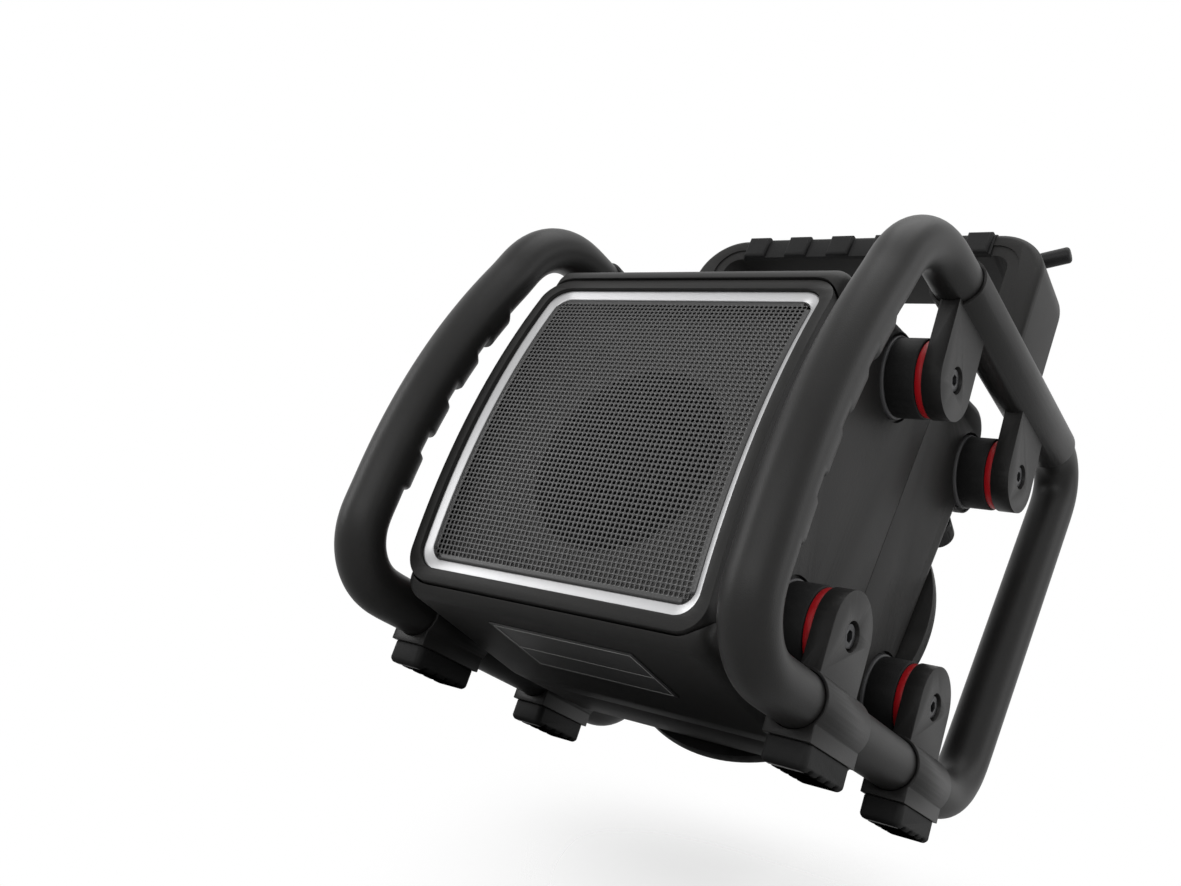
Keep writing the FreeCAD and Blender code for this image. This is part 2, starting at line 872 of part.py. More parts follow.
def rim():
    """The stepped ring of the control side, with its foot against the housing."""
    r0, r1, r2 = rim_radii
    h0, h1, h2 = rim_heights
    points = [
        (rim_foot_radius, 0.0), (r0, 1.0), (r0, h0), (r1, h0), (r1, h1), (r2, h1), (r2, h2),
        (rim_bore, h2 - 2.0), (rim_bore, grille_seat), (rim_bore - 3.0, grille_seat),
        (rim_bore - 3.0, 0.0),
    ]
    ring = in_frame(turned(points), rear_frame)
    for y, z in MOUNTS:
        room = bar_x(mount_boss_radius + rim_mount_gap, housing_half_width - 2.0 * wall, big, y, z)
        ring = ring.cut(room).cut(mirrored(room))
    return ring


def round_grille():
    base = rim_bore - 0.2
    rise = grille_rise
    radius = (base * base + rise * rise) / (2.0 * rise)
    top = grille_seat + grille_thickness + rise
    outer = Part.makeSphere(radius, V(0, 0, top - radius))
    inner = Part.makeSphere(radius, V(0, 0, top - radius - grille_thickness))
    cap = outer.cut(inner).common(disc(base, grille_seat, big))
    return in_frame(cap, rear_frame)


def rear_shell(blank):
    shell = blank.common(half_space(False))
    shell = shell.cut(in_frame(disc(driver_hole, -2.0 * wall, wall), rear_frame))
    x = panel_half_width - panel_opening_margin
    half_up = (panel_high - panel_low) / 2.0
    up = (panel_high + panel_low) / 2.0
    window = rounded_block((x, half_up - panel_opening_margin), panel_corner / 2.0,
                           -2.0 * wall, wall, (0.0, up))
    shell = shell.cut(in_frame(window, rear_frame))
    for side in (-1.0, 1.0):
        hole = disc(spindle_radius + spindle_fit, -2.0 * wall, wall, side * knob_x, knob_up)
        shell = shell.cut(in_frame(hole, rear_frame))
        for x, up in screw_places:
            bore = disc(screw_radius + 0.1, -2.0 * wall, wall, side * x, up)
            sink = disc(screw_head_radius + 0.3, -screw_bore_depth, wall, side * x, up)
            shell = shell.cut(in_frame(bore.fuse(sink), rear_frame))
    return whole([battery_opening(shell)])


def battery_opening(shell):
    y0 = bay_front - door_overlap - door_gap
    y1 = bay_rear + door_overlap + door_gap
    z0 = bay_low - door_overlap - door_gap
    z1 = bay_high + door_overlap + door_gap
    shell = shell.cut(box(-big, -housing_half_width / 2.0, y0, y1, z0, z1))
    for low, high in shell_knuckles():
        barrel = Part.makeCylinder(hinge_barrel_radius, high - low, hinge_base(low), V(0, 0, 1))
        web = box(-hinge_x() - 0.01, -housing_half_width + side_round / 9.0,
                  hinge_y() - hinge_barrel_radius, hinge_y(), low, high)
        shell = shell.fuse(barrel.fuse(web))
    clearance = Part.makeCylinder(hinge_barrel_radius + 0.4, door_knuckle()[1] - door_knuckle()[0]
                                  + 2.0 * hinge_slot, hinge_base(door_knuckle()[0] - hinge_slot),
                                  V(0, 0, 1))
    pin_bore = Part.makeCylinder(hinge_pin_radius + hinge_fit, bay_high - bay_low,
                                 hinge_base(bay_low), V(0, 0, 1))
    return shell.cut(clearance).cut(pin_bore)


def hinge_x():
    return housing_half_width + hinge_out


def hinge_y():
    return bay_front - door_overlap - hinge_back


def hinge_base(z):
    return V(-hinge_x(), hinge_y(), z)


def door_knuckle():
    middle = (bay_low + bay_high) / 2.0
    return middle - hinge_knuckle, middle + hinge_knuckle


def shell_knuckles():
    low, high = door_knuckle()
    return [(low - hinge_slot - hinge_knuckle, low - hinge_slot),
            (high + hinge_slot, high + hinge_slot + hinge_knuckle)]


def hinge_pin():
    low = shell_knuckles()[0][0]
    high = shell_knuckles()[1][1]
    return Part.makeCylinder(hinge_pin_radius, high - low, hinge_base(low), V(0, 0, 1))


def battery_door():
    y0 = bay_front - door_overlap
    y1 = bay_rear + door_overlap
    outer = -housing_half_width
    plate = box(outer, outer + door_thickness, y0, y1, bay_low - door_overlap,
                bay_high + door_overlap)
    low, high = door_knuckle()
    barrel = Part.makeCylinder(hinge_barrel_radius, high - low, hinge_base(low), V(0, 0, 1))
    strap = box(-hinge_x() - hinge_barrel_radius, outer - clamp_gap, hinge_y(), y0 + 4.0, low, high)
    root = box(outer - clamp_gap, outer, y0, y0 + 4.0, low, high)
    middle = (bay_low + bay_high) / 2.0
    latch = box(outer - latch_rise, outer, y1 - latch_width - 3.0, y1 - 3.0,
                middle - latch_length / 2.0, middle + latch_length / 2.0)
    solid = whole([plate, barrel, strap, root, latch])
    bore = Part.makeCylinder(hinge_pin_radius + hinge_fit, big, hinge_base(0.0), V(0, 0, 1))
    return solid.cut(bore)


def battery_bay():
    outer = -housing_half_width + wall
    inner = outer + bay_depth
    shell = box(outer, inner + bay_wall, bay_front - bay_wall, bay_rear + bay_wall,
                bay_low - bay_wall, bay_high + bay_wall)
    reach = door_overlap + door_gap + bay_flange
    flange = box(outer, outer + bay_wall, bay_front - reach, bay_rear + reach,
                 bay_low - reach, bay_high + reach)
    solid = shell.fuse(flange).removeSplitter()
    return solid.cut(box(outer - 1.0, inner, bay_front, bay_rear, bay_low, bay_high))


def bay_middle():
    return (bay_front + bay_rear) / 2.0, (bay_low + bay_high) / 2.0


def battery_cells():
    """Six round cells in two rows of three, pressed against the bay's inner wall."""
    end = -housing_half_width + wall + bay_depth
    middle_y, middle_z = bay_middle()
    cells = []
    for row in (-0.5, 0.5):
        for step in (-1.0, 0.0, 1.0):
            y = middle_y + row * cell_pitch_y
            z = middle_z + step * cell_pitch_z
            can = bar_x(cell_radius, end - cell_length, end, y, z)
            button = bar_x(cell_button_radius, end - cell_length - cell_button_height,
                           end - cell_length, y, z)
            cells.append(can.fuse(button).removeSplitter())
    return Part.makeCompound(cells)


def aux_socket():
    outer = -housing_half_width - aux_rise
    body = bar_x(aux_collar, outer, outer + aux_depth + 3.0, socket_y, aux_z)
    return body.cut(bar_x(aux_radius, outer - 1.0, outer + aux_depth, socket_y, aux_z))


def power_inlet():
    outer = -housing_half_width - 1.0
    half_y = inlet_length / 2.0
    half_z = inlet_height / 2.0
    cup = box(outer, outer + inlet_depth + inlet_wall, socket_y - half_y, socket_y + half_y,
              inlet_z - half_z, inlet_z + half_z)
    flange = box(outer, outer + 1.0, socket_y - half_y - inlet_flange,
                 socket_y + half_y + inlet_flange, inlet_z - half_z - inlet_flange,
                 inlet_z + half_z + inlet_flange)
    hollow = box(outer - 1.0, outer + inlet_depth, socket_y - half_y + inlet_wall,
                 socket_y + half_y - inlet_wall, inlet_z - half_z + inlet_wall,
                 inlet_z + half_z - inlet_wall)
    return cup.fuse(flange).removeSplitter().cut(hollow)


def control_panel():
    up = (panel_high + panel_low) / 2.0
    half_up = (panel_high - panel_low) / 2.0
    plate = rounded_block((panel_half_width, half_up), panel_corner, 0.0, panel_thickness,
                          (0.0, up))
    plate = plate.cut(window_block(0.0, -1.0, panel_thickness + 1.0))
    for x, y in key_places():
        hole = rounded_block((key_size[0] / 2.0 + key_gap, key_size[1] / 2.0 + key_gap),
                             key_corner + key_gap, -1.0, panel_thickness + 1.0, (x, y))
        plate = plate.cut(hole)
    return in_frame(plate, rear_frame)


def window_block(inset, low, high):
    up = (window_high + window_low) / 2.0
    half = (window_half_width - inset, (window_high - window_low) / 2.0 - inset)
    return rounded_block(half, window_corner, low, high, (0.0, up))


def display_window():
    lens = window_block(window_fit, 0.0, panel_thickness + window_rise)
    return in_frame(lens, rear_frame)


def display_module():
    block = window_block(1.0, -module_depth, -0.0)
    return in_frame(block, rear_frame)


def key_places():
    return [(side * key_x, up) for side in (-1.0, 1.0) for up in key_rows]


def key(x, up):
    cap = rounded_block((key_size[0] / 2.0, key_size[1] / 2.0), key_corner,
                        -key_depth, panel_thickness + key_rise, (x, up))
    top = panel_thickness + key_rise
    crown = [e for e in cap.Edges if e.BoundBox.ZMin > top - 0.01]
    return in_frame(cap.makeFillet(0.8, crown), rear_frame)


def control_board():
    up = (panel_high + panel_low) / 2.0
    half_up = (panel_high - panel_low) / 2.0 - panel_opening_margin - 1.0
    half_x = panel_half_width - panel_opening_margin - 1.0
    high = -board_drop
    board = rounded_block((half_x, half_up), 2.0, high - board_thickness, high, (0.0, up))
    posts = [disc(post_radius, high, 0.0, sx * (key_x - 12.0), up + sy * (half_up - post_radius))
             for sx in (-1.0, 1.0) for sy in (-1.0, 1.0)]
    pad = window_block(6.0, high, -module_depth)
    return in_frame(whole([board, pad] + posts), rear_frame)


def knob(side):
    base = knob_lift
    cap = Part.makeCone(knob_radius, knob_top_radius, knob_height, V(0, 0, base))
    top = base + knob_height
    crown = [e for e in cap.Edges if e.BoundBox.ZMin > top - 0.01]
    cap = cap.makeFillet(1.5, crown)
    for k in range(knob_flutes):
        a = 2.0 * math.pi * k / knob_flutes
        groove = disc(knob_flute_radius, base + 4.0, big / 10.0, knob_radius * math.cos(a),
                      knob_radius * math.sin(a))
        cap = cap.cut(groove)
    spindle = disc(spindle_radius, -spindle_length, base)
    solid = cap.fuse(spindle).removeSplitter()
    solid.translate(V(side * knob_x, knob_up, 0.0))
    return in_frame(solid, rear_frame)


def knob_encoder(side):
    """The fixed body of the rotary control, behind the wall, with a bore for the spindle."""
    half = encoder_size / 2.0
    start = -wall - encoder_depth
    block = rounded_block((half, half), 1.0, start, -wall)
    block = block.cut(disc(spindle_radius + spindle_fit, -spindle_length - 0.5, 0.0))
    block.translate(V(side * knob_x, knob_up, 0.0))
    return in_frame(block, rear_frame)


def handle_profile(half, height, radius, low=0.0):
    points = [(-half, low), (half, low), (half, height), (-half, height)]
    return Part.Face(Part.Wire(loop_edges(points, [0.0, 0.0, radius, radius], flat_point)))


def handle_arch(half, height, radius, low, thick_low, thick_high):
    face = handle_profile(half, height, radius, low)
    face.translate(V(0, 0, thick_low))
    return face.extrude(V(0, 0, thick_high - thick_low))


def handle():
    half_depth = handle_depth / 2.0
    gap_half = handle_half - handle_leg
    gap_top = handle_height - handle_bar
    arch = handle_arch(handle_half, handle_height, handle_corner, 0.0, -half_depth, half_depth)
    rims = [e for e in arch.Edges
            if abs(abs(e.BoundBox.ZMin) - half_depth) < 0.01 and e.BoundBox.ZLength < 0.01
            and e.BoundBox.YMax > 1.0]
    arch = arch.makeFillet(handle_edge, rims)
    gap = handle_arch(gap_half, gap_top, opening_corner, -1.0, -big, big)
    arch = arch.cut(gap)
    lip = handle_arch(gap_half + lip_width, gap_top + lip_width, opening_corner + lip_width,
                      -1.0, half_depth - lip_depth, half_depth + 1.0)
    bar_cut = box(-grip_half, grip_half, gap_top - 1.0, handle_height + 1.0,
                  half_depth - grip_skin, half_depth + 1.0)
    top_cut = box(-grip_half, grip_half, handle_height - grip_skin, handle_height + 1.0,
                  -half_depth - 1.0, half_depth + 1.0)
    arch = in_frame(arch.cut(lip).cut(bar_cut).cut(top_cut), handle_frame)
    for side in (-1.0, 1.0):
        clamp = top_run_rod(collar_radius + clamp_gap, -big / 4.0, big / 10.0)
        arch = arch.cut(clamp if side > 0 else mirrored(clamp))
    return whole([arch])


def handle_grip():
    """The soft cover on the front and top of the bar, with bumps for the fingers."""
    half_depth = handle_depth / 2.0
    gap_top = handle_height - handle_bar
    front_skin = box(-grip_half, grip_half, gap_top, handle_height + grip_proud,
                     half_depth - grip_skin, half_depth + grip_proud)
    top_skin = box(-grip_half, grip_half, handle_height - grip_skin, handle_height + grip_proud,
                   -half_depth, half_depth)
    skin = front_skin.fuse(top_skin).removeSplitter()
    crest = [e for e in skin.Edges if e.BoundBox.XLength > grip_half
             and e.BoundBox.YMin > handle_height + grip_proud - 0.01
             and e.BoundBox.ZMin > half_depth + grip_proud - 0.01]
    skin = skin.makeFillet(handle_edge, crest)
    bumps = []
    for k in range(bump_count):
        x = (k - (bump_count - 1) / 2.0) * bump_pitch
        bump = box(x - bump_width / 2.0, x + bump_width / 2.0, gap_top, handle_height - 1.0,
                   half_depth - 0.5, half_depth + bump_rise)
        outer = [e for e in bump.Edges if e.BoundBox.ZMin > half_depth + bump_rise - 0.01]
        bumps.append(bump.makeFillet(bump_round, outer))
    return in_frame(whole([skin] + bumps), handle_frame)


def antenna_frame():
    """Z stands out of the handle's rear face, X runs along the folded antenna."""
    half_depth = handle_depth / 2.0
    at = handle_frame.multVec(V(antenna_x, antenna_up, -half_depth))
    turn = handle_frame.Rotation.multiply(FreeCAD.Rotation(V(1, 0, 0), 180.0))
    turn = turn.multiply(FreeCAD.Rotation(V(0, 0, 1), -antenna_angle))
    return FreeCAD.Placement(at, turn)


def antenna_foot():
    plate = disc(foot_plate_radius, 0.0, foot_plate_height)
    stub = disc(turret_stub_radius, foot_plate_height, foot_plate_height + 3.0)
    return in_frame(plate.fuse(stub).removeSplitter(), antenna_frame())


def antenna_turret():
    base = foot_plate_height + turret_gap
    top = foot_plate_height + turret_height
    body = disc(turret_radius, base, top)
    body = body.cut(disc(turret_stub_radius + turret_gap, 0.0, foot_plate_height + 3.0 + turret_gap))
    slot = box(-big, big, -slot_width / 2.0, slot_width / 2.0,
               foot_plate_height + pivot_height - tongue_radius - 0.8, big)
    body = body.cut(slot)
    pivot = Part.makeCylinder(pivot_radius, 2.0 * turret_radius - 3.0,
                              V(0, 1.5 - turret_radius, foot_plate_height + pivot_height),
                              V(0, 1, 0))
    return in_frame(body.fuse(pivot).removeSplitter(), antenna_frame())


def antenna_section(index):
    """One drawn tube of the antenna; the first also carries the tongue."""
    height = foot_plate_height + pivot_height
    start = section_start + index * section_step
    length = section_length
    radius = section_radii[index]
    axis = V(1, 0, 0)
    solid = Part.makeCylinder(radius, length, V(start, 0, height), axis)
    if index == 0:
        half = tongue_width / 2.0
        stub = box(0.0, section_start + 2.0, -half, half, height - tongue_height / 2.0,
                   height + tongue_height / 2.0)
        eye = Part.makeCylinder(tongue_radius, tongue_width, V(0, -tongue_width / 2.0, height),
                                V(0, 1, 0))
        solid = whole([solid, stub, eye])
        bore = Part.makeCylinder(pivot_radius + pivot_fit, 2.0 * tongue_width,
                                 V(0, -tongue_width, height), V(0, 1, 0))
        solid = solid.cut(bore)
    if index < len(section_radii) - 1:
        inner = section_radii[index + 1] + section_play
        solid = solid.cut(Part.makeCylinder(inner, length, V(start + 2.0, 0, height), axis))
    return in_frame(solid, antenna_frame())


def antenna_tip():
    """The thick cap on the end of the innermost tube."""
    start = section_start + (len(section_radii) - 1) * section_step + section_length
    tip = Part.makeCylinder(tip_radius, tip_length, V(start, 0, foot_plate_height + pivot_height),
                            V(1, 0, 0))
    ends = [e for e in tip.Edges if e.Closed and e.BoundBox.XLength < 0.01]
    return in_frame(tip.makeFillet(tip_round, ends), antenna_frame())


def main_board():
    """The amplifier board on four posts that stand on the floor of the rear shell."""
    board = rounded_block(main_board_half, 2.0, main_board_z, main_board_z + board_thickness,
                          (0.0, main_board_y))
    floor = under_crease[1] + wall
    posts = [disc(board_post_radius, floor, main_board_z, sx * (main_board_half[0] - 8.0),
                  main_board_y + sy * (main_board_half[1] - 6.0))
             for sx in (-1.0, 1.0) for sy in (-1.0, 1.0)]
    return whole([board] + posts)


def transformer():
    """A winding block between two halves of its iron core, standing on the board."""
    base = main_board_z + board_thickness
    y = main_board_y
    half_x, half_y = transformer_half
    core = box(transformer_x - half_x, transformer_x + half_x, y - half_y / 2.0,
               y + half_y / 2.0, base, base + transformer_height)
    coil = rounded_block((half_x * 0.7, half_y), 4.0, base + 5.0,
                         base + transformer_height - 5.0, (transformer_x, y))
    return core.fuse(coil).removeSplitter()


def radiator_frame():
    """Flat ring against the housing inside the round rim, with the passive cone's roll."""
    low = 0.0
    t = radiator_thickness
    middle = radiator_cone + 2.0 + radiator_roll
    steps = 8
    outer = [(middle + radiator_roll * math.cos(math.pi * k / steps),
              low + t + radiator_roll * math.sin(math.pi * k / steps)) for k in range(steps + 1)]
    thin = radiator_roll - t
    inner = [(middle + thin * math.cos(math.pi * (steps - k) / steps),
              low + t + thin * math.sin(math.pi * (steps - k) / steps)) for k in range(steps + 1)]
    points = [(radiator_rim, low), (radiator_rim, low + t)] + outer
    points += [(radiator_cone, low + t), (radiator_cone, low), (middle - thin, low)] + inner
    points += [(middle + thin, low)]
    return in_frame(turned(points), rear_frame)


def radiator_plate():
    """The flat passive cone in the middle of the roll."""
    t = radiator_thickness
    plate = turned([(0.0, 0.0), (radiator_cone, 0.0), (radiator_cone, t), (34.0, t), (28.0, t + 3.0),
                    (0.0, t + 3.0)])
    return in_frame(plate, rear_frame)


def housing_screws():
    """Cross-head screws whose heads sit in counterbores of the control side."""
    solids = []
    head = disc(screw_head_radius, -screw_bore_depth, screw_head_height - screw_bore_depth)
    screw = head.fuse(disc(screw_radius, -screw_length, -screw_bore_depth)).removeSplitter()
    screw = screw.cut(box(-0.6, 0.6, -2.4, 2.4, 0.0, big / 10.0))
    screw = screw.cut(box(-2.4, 2.4, -0.6, 0.6, 0.0, big / 10.0))
    for side in (-1.0, 1.0):
        for x, up in screw_places:
            one = screw.copy()
            one.translate(V(side * x, up, 0.0))
            solids.append(in_frame(one, rear_frame))
    return Part.makeCompound(solids)


def build():
    """All nodes by name, still in drawing position."""
    nodes = {}
    tube = cage()
    right_cage = tube.copy()
    right_cage.translate(V(cage_x, 0, 0))
    nodes["right_cage_tube"] = right_cage
    nodes["left_cage_tube"] = mirrored(right_cage)
    for place, y in (("front", lower_front_y), ("rear", lower_rear_y)):
        clamp = lower_clamp(y)
        nodes["right_" + place + "_lower_clamp"] = clamp
        nodes["left_" + place + "_lower_clamp"] = mirrored(clamp)
    feet = Part.makeCompound([foot(lower_front_y), foot(lower_rear_y)])
    nodes["right_feet"] = feet
    nodes["left_feet"] = mirrored(feet)
    top_clamp = upper_clamp()
    nodes["right_upper_clamp"] = top_clamp
    nodes["left_upper_clamp"] = mirrored(top_clamp)
    nodes["damper_rings"] = both_sides(damper_ring)
    nodes["rubber_buffers"] = both_sides(buffer_block)
    nodes["seat_discs"] = both_sides(seat_disc)
    nodes["cage_bolts"] = both_sides(bolt)
    blank = shell_blank()
    nodes["front_shell"] = front_shell(blank)
    nodes["rear_shell"] = rear_shell(blank)
    nodes["bezel_frame"] = bezel()
    nodes["silver_frame"] = silver_frame()
    nodes["mesh_grille"] = mesh()
    nodes["speaker_baffle"] = baffle()
    driver = woofer_frame()
    nodes["woofer_basket"] = in_frame(driver_basket(woofer_rim_radius), driver)
    nodes["woofer_surround"] = in_frame(driver_surround(), driver)
    nodes["woofer_cone"] = in_frame(driver_cone(), driver)
    nodes["woofer_magnet"] = in_frame(driver_magnet(), driver)
    nodes["type_plate"] = type_plate()
    nodes["control_side_rim"] = rim()
    nodes["round_grille"] = round_grille()
    nodes["radiator_frame"] = radiator_frame()
    nodes["radiator_plate"] = radiator_plate()
    nodes["housing_screws"] = housing_screws()
    nodes["main_board"] = main_board()
    nodes["transformer"] = transformer()
    nodes["battery_door"] = battery_door()
    nodes["door_hinge_pin"] = hinge_pin()
    nodes["battery_bay"] = battery_bay()
    nodes["battery_cells"] = battery_cells()
    nodes["aux_socket"] = aux_socket()
    nodes["power_inlet"] = power_inlet()
    nodes["control_panel"] = control_panel()
    nodes["display_window"] = display_window()
    nodes["display_module"] = display_module()
    nodes["control_board"] = control_board()
    for number, (x, up) in enumerate(key_places(), start=1):
        nodes["key_%d" % number] = key(x, up)
    nodes["volume_knob"] = knob(-1.0)
    nodes["tuning_knob"] = knob(1.0)
    nodes["knob_encoders"] = Part.makeCompound([knob_encoder(-1.0), knob_encoder(1.0)])
    nodes["carry_handle"] = handle()
    nodes["handle_grip"] = handle_grip()
    nodes["antenna_foot"] = antenna_foot()
    nodes["antenna_turret"] = antenna_turret()
    for index in range(len(section_radii)):
        nodes["antenna_section_%d" % (index + 1)] = antenna_section(index)
    nodes["antenna_tip"] = antenna_tip()
    return nodes


def middle_shift(nodes):
    bounds = nodes["right_cage_tube"].optimalBoundingBox(False, False)
    return -(bounds.YMin + bounds.YMax) / 2.0


if __name__ == "__main__":
    os.makedirs("parts", exist_ok=True)
    all_nodes = build()
    shift = V(0, middle_shift(all_nodes), 0)
    for name, shape in all_nodes.items():
        shape.translate(shift)
        shape.exportStep("parts/%s.step" % name)
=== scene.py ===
import json
import math

import bmesh
import bpy
from mathutils import Matrix, Vector


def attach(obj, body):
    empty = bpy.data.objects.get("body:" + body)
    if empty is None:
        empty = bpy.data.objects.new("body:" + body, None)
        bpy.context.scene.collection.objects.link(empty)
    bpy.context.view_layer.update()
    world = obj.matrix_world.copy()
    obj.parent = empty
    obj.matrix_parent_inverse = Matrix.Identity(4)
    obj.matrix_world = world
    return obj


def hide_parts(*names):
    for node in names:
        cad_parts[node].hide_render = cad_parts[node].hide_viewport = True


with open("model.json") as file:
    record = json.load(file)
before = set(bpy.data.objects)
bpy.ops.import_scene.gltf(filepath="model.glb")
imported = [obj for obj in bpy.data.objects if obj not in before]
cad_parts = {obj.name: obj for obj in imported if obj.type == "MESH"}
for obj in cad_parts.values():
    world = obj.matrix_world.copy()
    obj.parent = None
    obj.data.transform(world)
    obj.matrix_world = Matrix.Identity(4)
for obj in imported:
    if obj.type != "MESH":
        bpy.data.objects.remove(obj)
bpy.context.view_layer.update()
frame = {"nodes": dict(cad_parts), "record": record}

scene = bpy.context.scene
scene.view_settings.view_transform = "Standard"
MM = 0.001


# Shared surface effects

def new_group(name, inputs, outputs):
    group = bpy.data.node_groups.new(name, "ShaderNodeTree")
    for label, kind, value in inputs:
        socket = group.interface.new_socket(label, in_out="INPUT", socket_type=kind)
        socket.default_value = value
    for label, kind in outputs:
        group.interface.new_socket(label, in_out="OUTPUT", socket_type=kind)
    start = group.nodes.new("NodeGroupInput")
    end = group.nodes.new("NodeGroupOutput")
    return group, start, end


def math_node(tree, operation, first, second):
    node = tree.nodes.new("ShaderNodeMath")
    node.operation = operation
    for socket, value in zip(node.inputs, (first, second)):
        if isinstance(value, (int, float)):
            socket.default_value = value
        else:
            tree.links.new(value, socket)
    return node.outputs[0]


def make_spark_grain():
    """The fine pitted grain of a spark-eroded mould, as a height."""
    group, start, end = new_group(
        "spark_grain",
        [("Scale", "NodeSocketFloat", 900.0)],
        [("Height", "NodeSocketFloat")],
    )
    place = group.nodes.new("ShaderNodeTexCoord")
    fine = group.nodes.new("ShaderNodeTexNoise")
    fine.inputs["Detail"].default_value = 3.0
    pits = group.nodes.new("ShaderNodeTexVoronoi")
    group.links.new(place.outputs["Object"], fine.inputs["Vector"])
    group.links.new(place.outputs["Object"], pits.inputs["Vector"])
    group.links.new(start.outputs["Scale"], fine.inputs["Scale"])
    group.links.new(start.outputs["Scale"], pits.inputs["Scale"])
    height = math_node(group, "ADD", fine.outputs["Fac"], pits.outputs["Distance"])
    group.links.new(height, end.inputs["Height"])
    return group


def make_handling_film():
    """Faint uneven tone and polish left by hands and dust."""
    group, start, end = new_group(
        "handling_film",
        [
            ("Color", "NodeSocketColor", (0.05, 0.05, 0.05, 1.0)),
            ("Dust Color", "NodeSocketColor", (0.12, 0.118, 0.11, 1.0)),
            ("Dust Amount", "NodeSocketFloat", 0.12),
            ("Roughness", "NodeSocketFloat", 0.5),
            ("Roughness Spread", "NodeSocketFloat", 0.12),
        ],
        [("Color", "NodeSocketColor"), ("Roughness", "NodeSocketFloat")],
    )
    place = group.nodes.new("ShaderNodeTexCoord")
    broad = group.nodes.new("ShaderNodeTexNoise")
    broad.inputs["Scale"].default_value = 22.0
    broad.inputs["Detail"].default_value = 6.0
    broad.inputs["Roughness"].default_value = 0.62
    speck = group.nodes.new("ShaderNodeTexNoise")
    speck.inputs["Scale"].default_value = 260.0
    speck.inputs["Detail"].default_value = 4.0
    for node in (broad, speck):
        group.links.new(place.outputs["Object"], node.inputs["Vector"])
    shaped = group.nodes.new("ShaderNodeMapRange")
    shaped.inputs["From Min"].default_value = 0.35
    shaped.inputs["From Max"].default_value = 0.75
    group.links.new(broad.outputs["Fac"], shaped.inputs["Value"])
    both = math_node(group, "MULTIPLY", shaped.outputs["Result"], speck.outputs["Fac"])
    amount = math_node(group, "MULTIPLY", both, start.outputs["Dust Amount"])
    mix = group.nodes.new("ShaderNodeMix")
    mix.data_type = "RGBA"
    group.links.new(amount, mix.inputs[0])
    group.links.new(start.outputs["Color"], mix.inputs[6])
    group.links.new(start.outputs["Dust Color"], mix.inputs[7])
    group.links.new(mix.outputs[2], end.inputs["Color"])
    centred = math_node(group, "SUBTRACT", broad.outputs["Fac"], 0.5)
    spread = math_node(group, "MULTIPLY", centred, start.outputs["Roughness Spread"])
    total = math_node(group, "ADD", spread, start.outputs["Roughness"])
    group.links.new(total, end.inputs["Roughness"])
    return group


def make_brushed_lines():
    """Fine drawn lines along X, as a height."""
    group, start, end = new_group(
        "drawn_lines",
        [("Scale", "NodeSocketFloat", 700.0)],
        [("Height", "NodeSocketFloat")],
    )
    place = group.nodes.new("ShaderNodeTexCoord")
    stretch = group.nodes.new("ShaderNodeMapping")
    stretch.inputs["Scale"].default_value = (0.03, 1.0, 1.0)
    lines = group.nodes.new("ShaderNodeTexNoise")
    lines.inputs["Detail"].default_value = 4.0
    group.links.new(place.outputs["Object"], stretch.inputs["Vector"])
    group.links.new(stretch.outputs["Vector"], lines.inputs["Vector"])
    group.links.new(start.outputs["Scale"], lines.inputs["Scale"])
    group.links.new(lines.outputs["Fac"], end.inputs["Height"])
    return group


def make_punched_dots():
    """A regular pattern of round holes seen along Y: a mask that is 1 in a hole."""
    group, start, end = new_group(
        "punched_dots",
        [("Pitch", "NodeSocketFloat", 0.003), ("Hole Radius", "NodeSocketFloat", 0.001)],
        [("Mask", "NodeSocketFloat")],
    )
    place = group.nodes.new("ShaderNodeTexCoord")
    split = group.nodes.new("ShaderNodeSeparateXYZ")
    group.links.new(place.outputs["Object"], split.inputs["Vector"])
    squares = []
    for axis in ("X", "Z"):
        half = math_node(group, "MULTIPLY", start.outputs["Pitch"], 0.5)
        wrapped = math_node(group, "PINGPONG", split.outputs[axis], half)
        squares.append(math_node(group, "MULTIPLY", wrapped, wrapped))
    distance = math_node(group, "SQRT", math_node(group, "ADD", *squares), 0.0)
    inside = math_node(group, "LESS_THAN", distance, start.outputs["Hole Radius"])
    group.links.new(inside, end.inputs["Mask"])
    return group


SPARK_GRAIN = make_spark_grain()
HANDLING_FILM = make_handling_film()
DRAWN_LINES = make_brushed_lines()
PUNCHED_DOTS = make_punched_dots()


# Finishes

def place_group(tree, group, values):
    node = tree.nodes.new("ShaderNodeGroup")
    node.node_tree = group
    for label, value in values.items():
        node.inputs[label].default_value = value
    return node


def bump_from(tree, height, depth, shader):
    bump = tree.nodes.new("ShaderNodeBump")
    bump.inputs["Strength"].default_value = 0.6
    bump.inputs["Distance"].default_value = depth
    tree.links.new(height, bump.inputs["Height"])
    tree.links.new(bump.outputs["Normal"], shader.inputs["Normal"])


def filmed(name, color, roughness, dust=0.12, spread=0.12):
    """A Principled material whose tone and roughness vary a little."""
    material = bpy.data.materials.new(name)
    material.use_nodes = True
    tree = material.node_tree
    shader = tree.nodes["Principled BSDF"]
    film = place_group(tree, HANDLING_FILM, {
        "Color": (*color, 1.0),
        "Dust Color": tuple(min(1.0, c * 1.6 + 0.03) for c in color) + (1.0,),
        "Dust Amount": dust,
        "Roughness": roughness,
        "Roughness Spread": spread,
    })
    tree.links.new(film.outputs["Color"], shader.inputs["Base Color"])
    tree.links.new(film.outputs["Roughness"], shader.inputs["Roughness"])
    return material, tree, shader


def grained_plastic(name, color, roughness, grain=1500.0, depth=0.00006, specular=0.5, dust=0.12):
    material, tree, shader = filmed(name, color, roughness, dust)
    shader.inputs["Specular IOR Level"].default_value = specular
    grain_node = place_group(tree, SPARK_GRAIN, {"Scale": grain})
    bump_from(tree, grain_node.outputs["Height"], depth, shader)
    return material


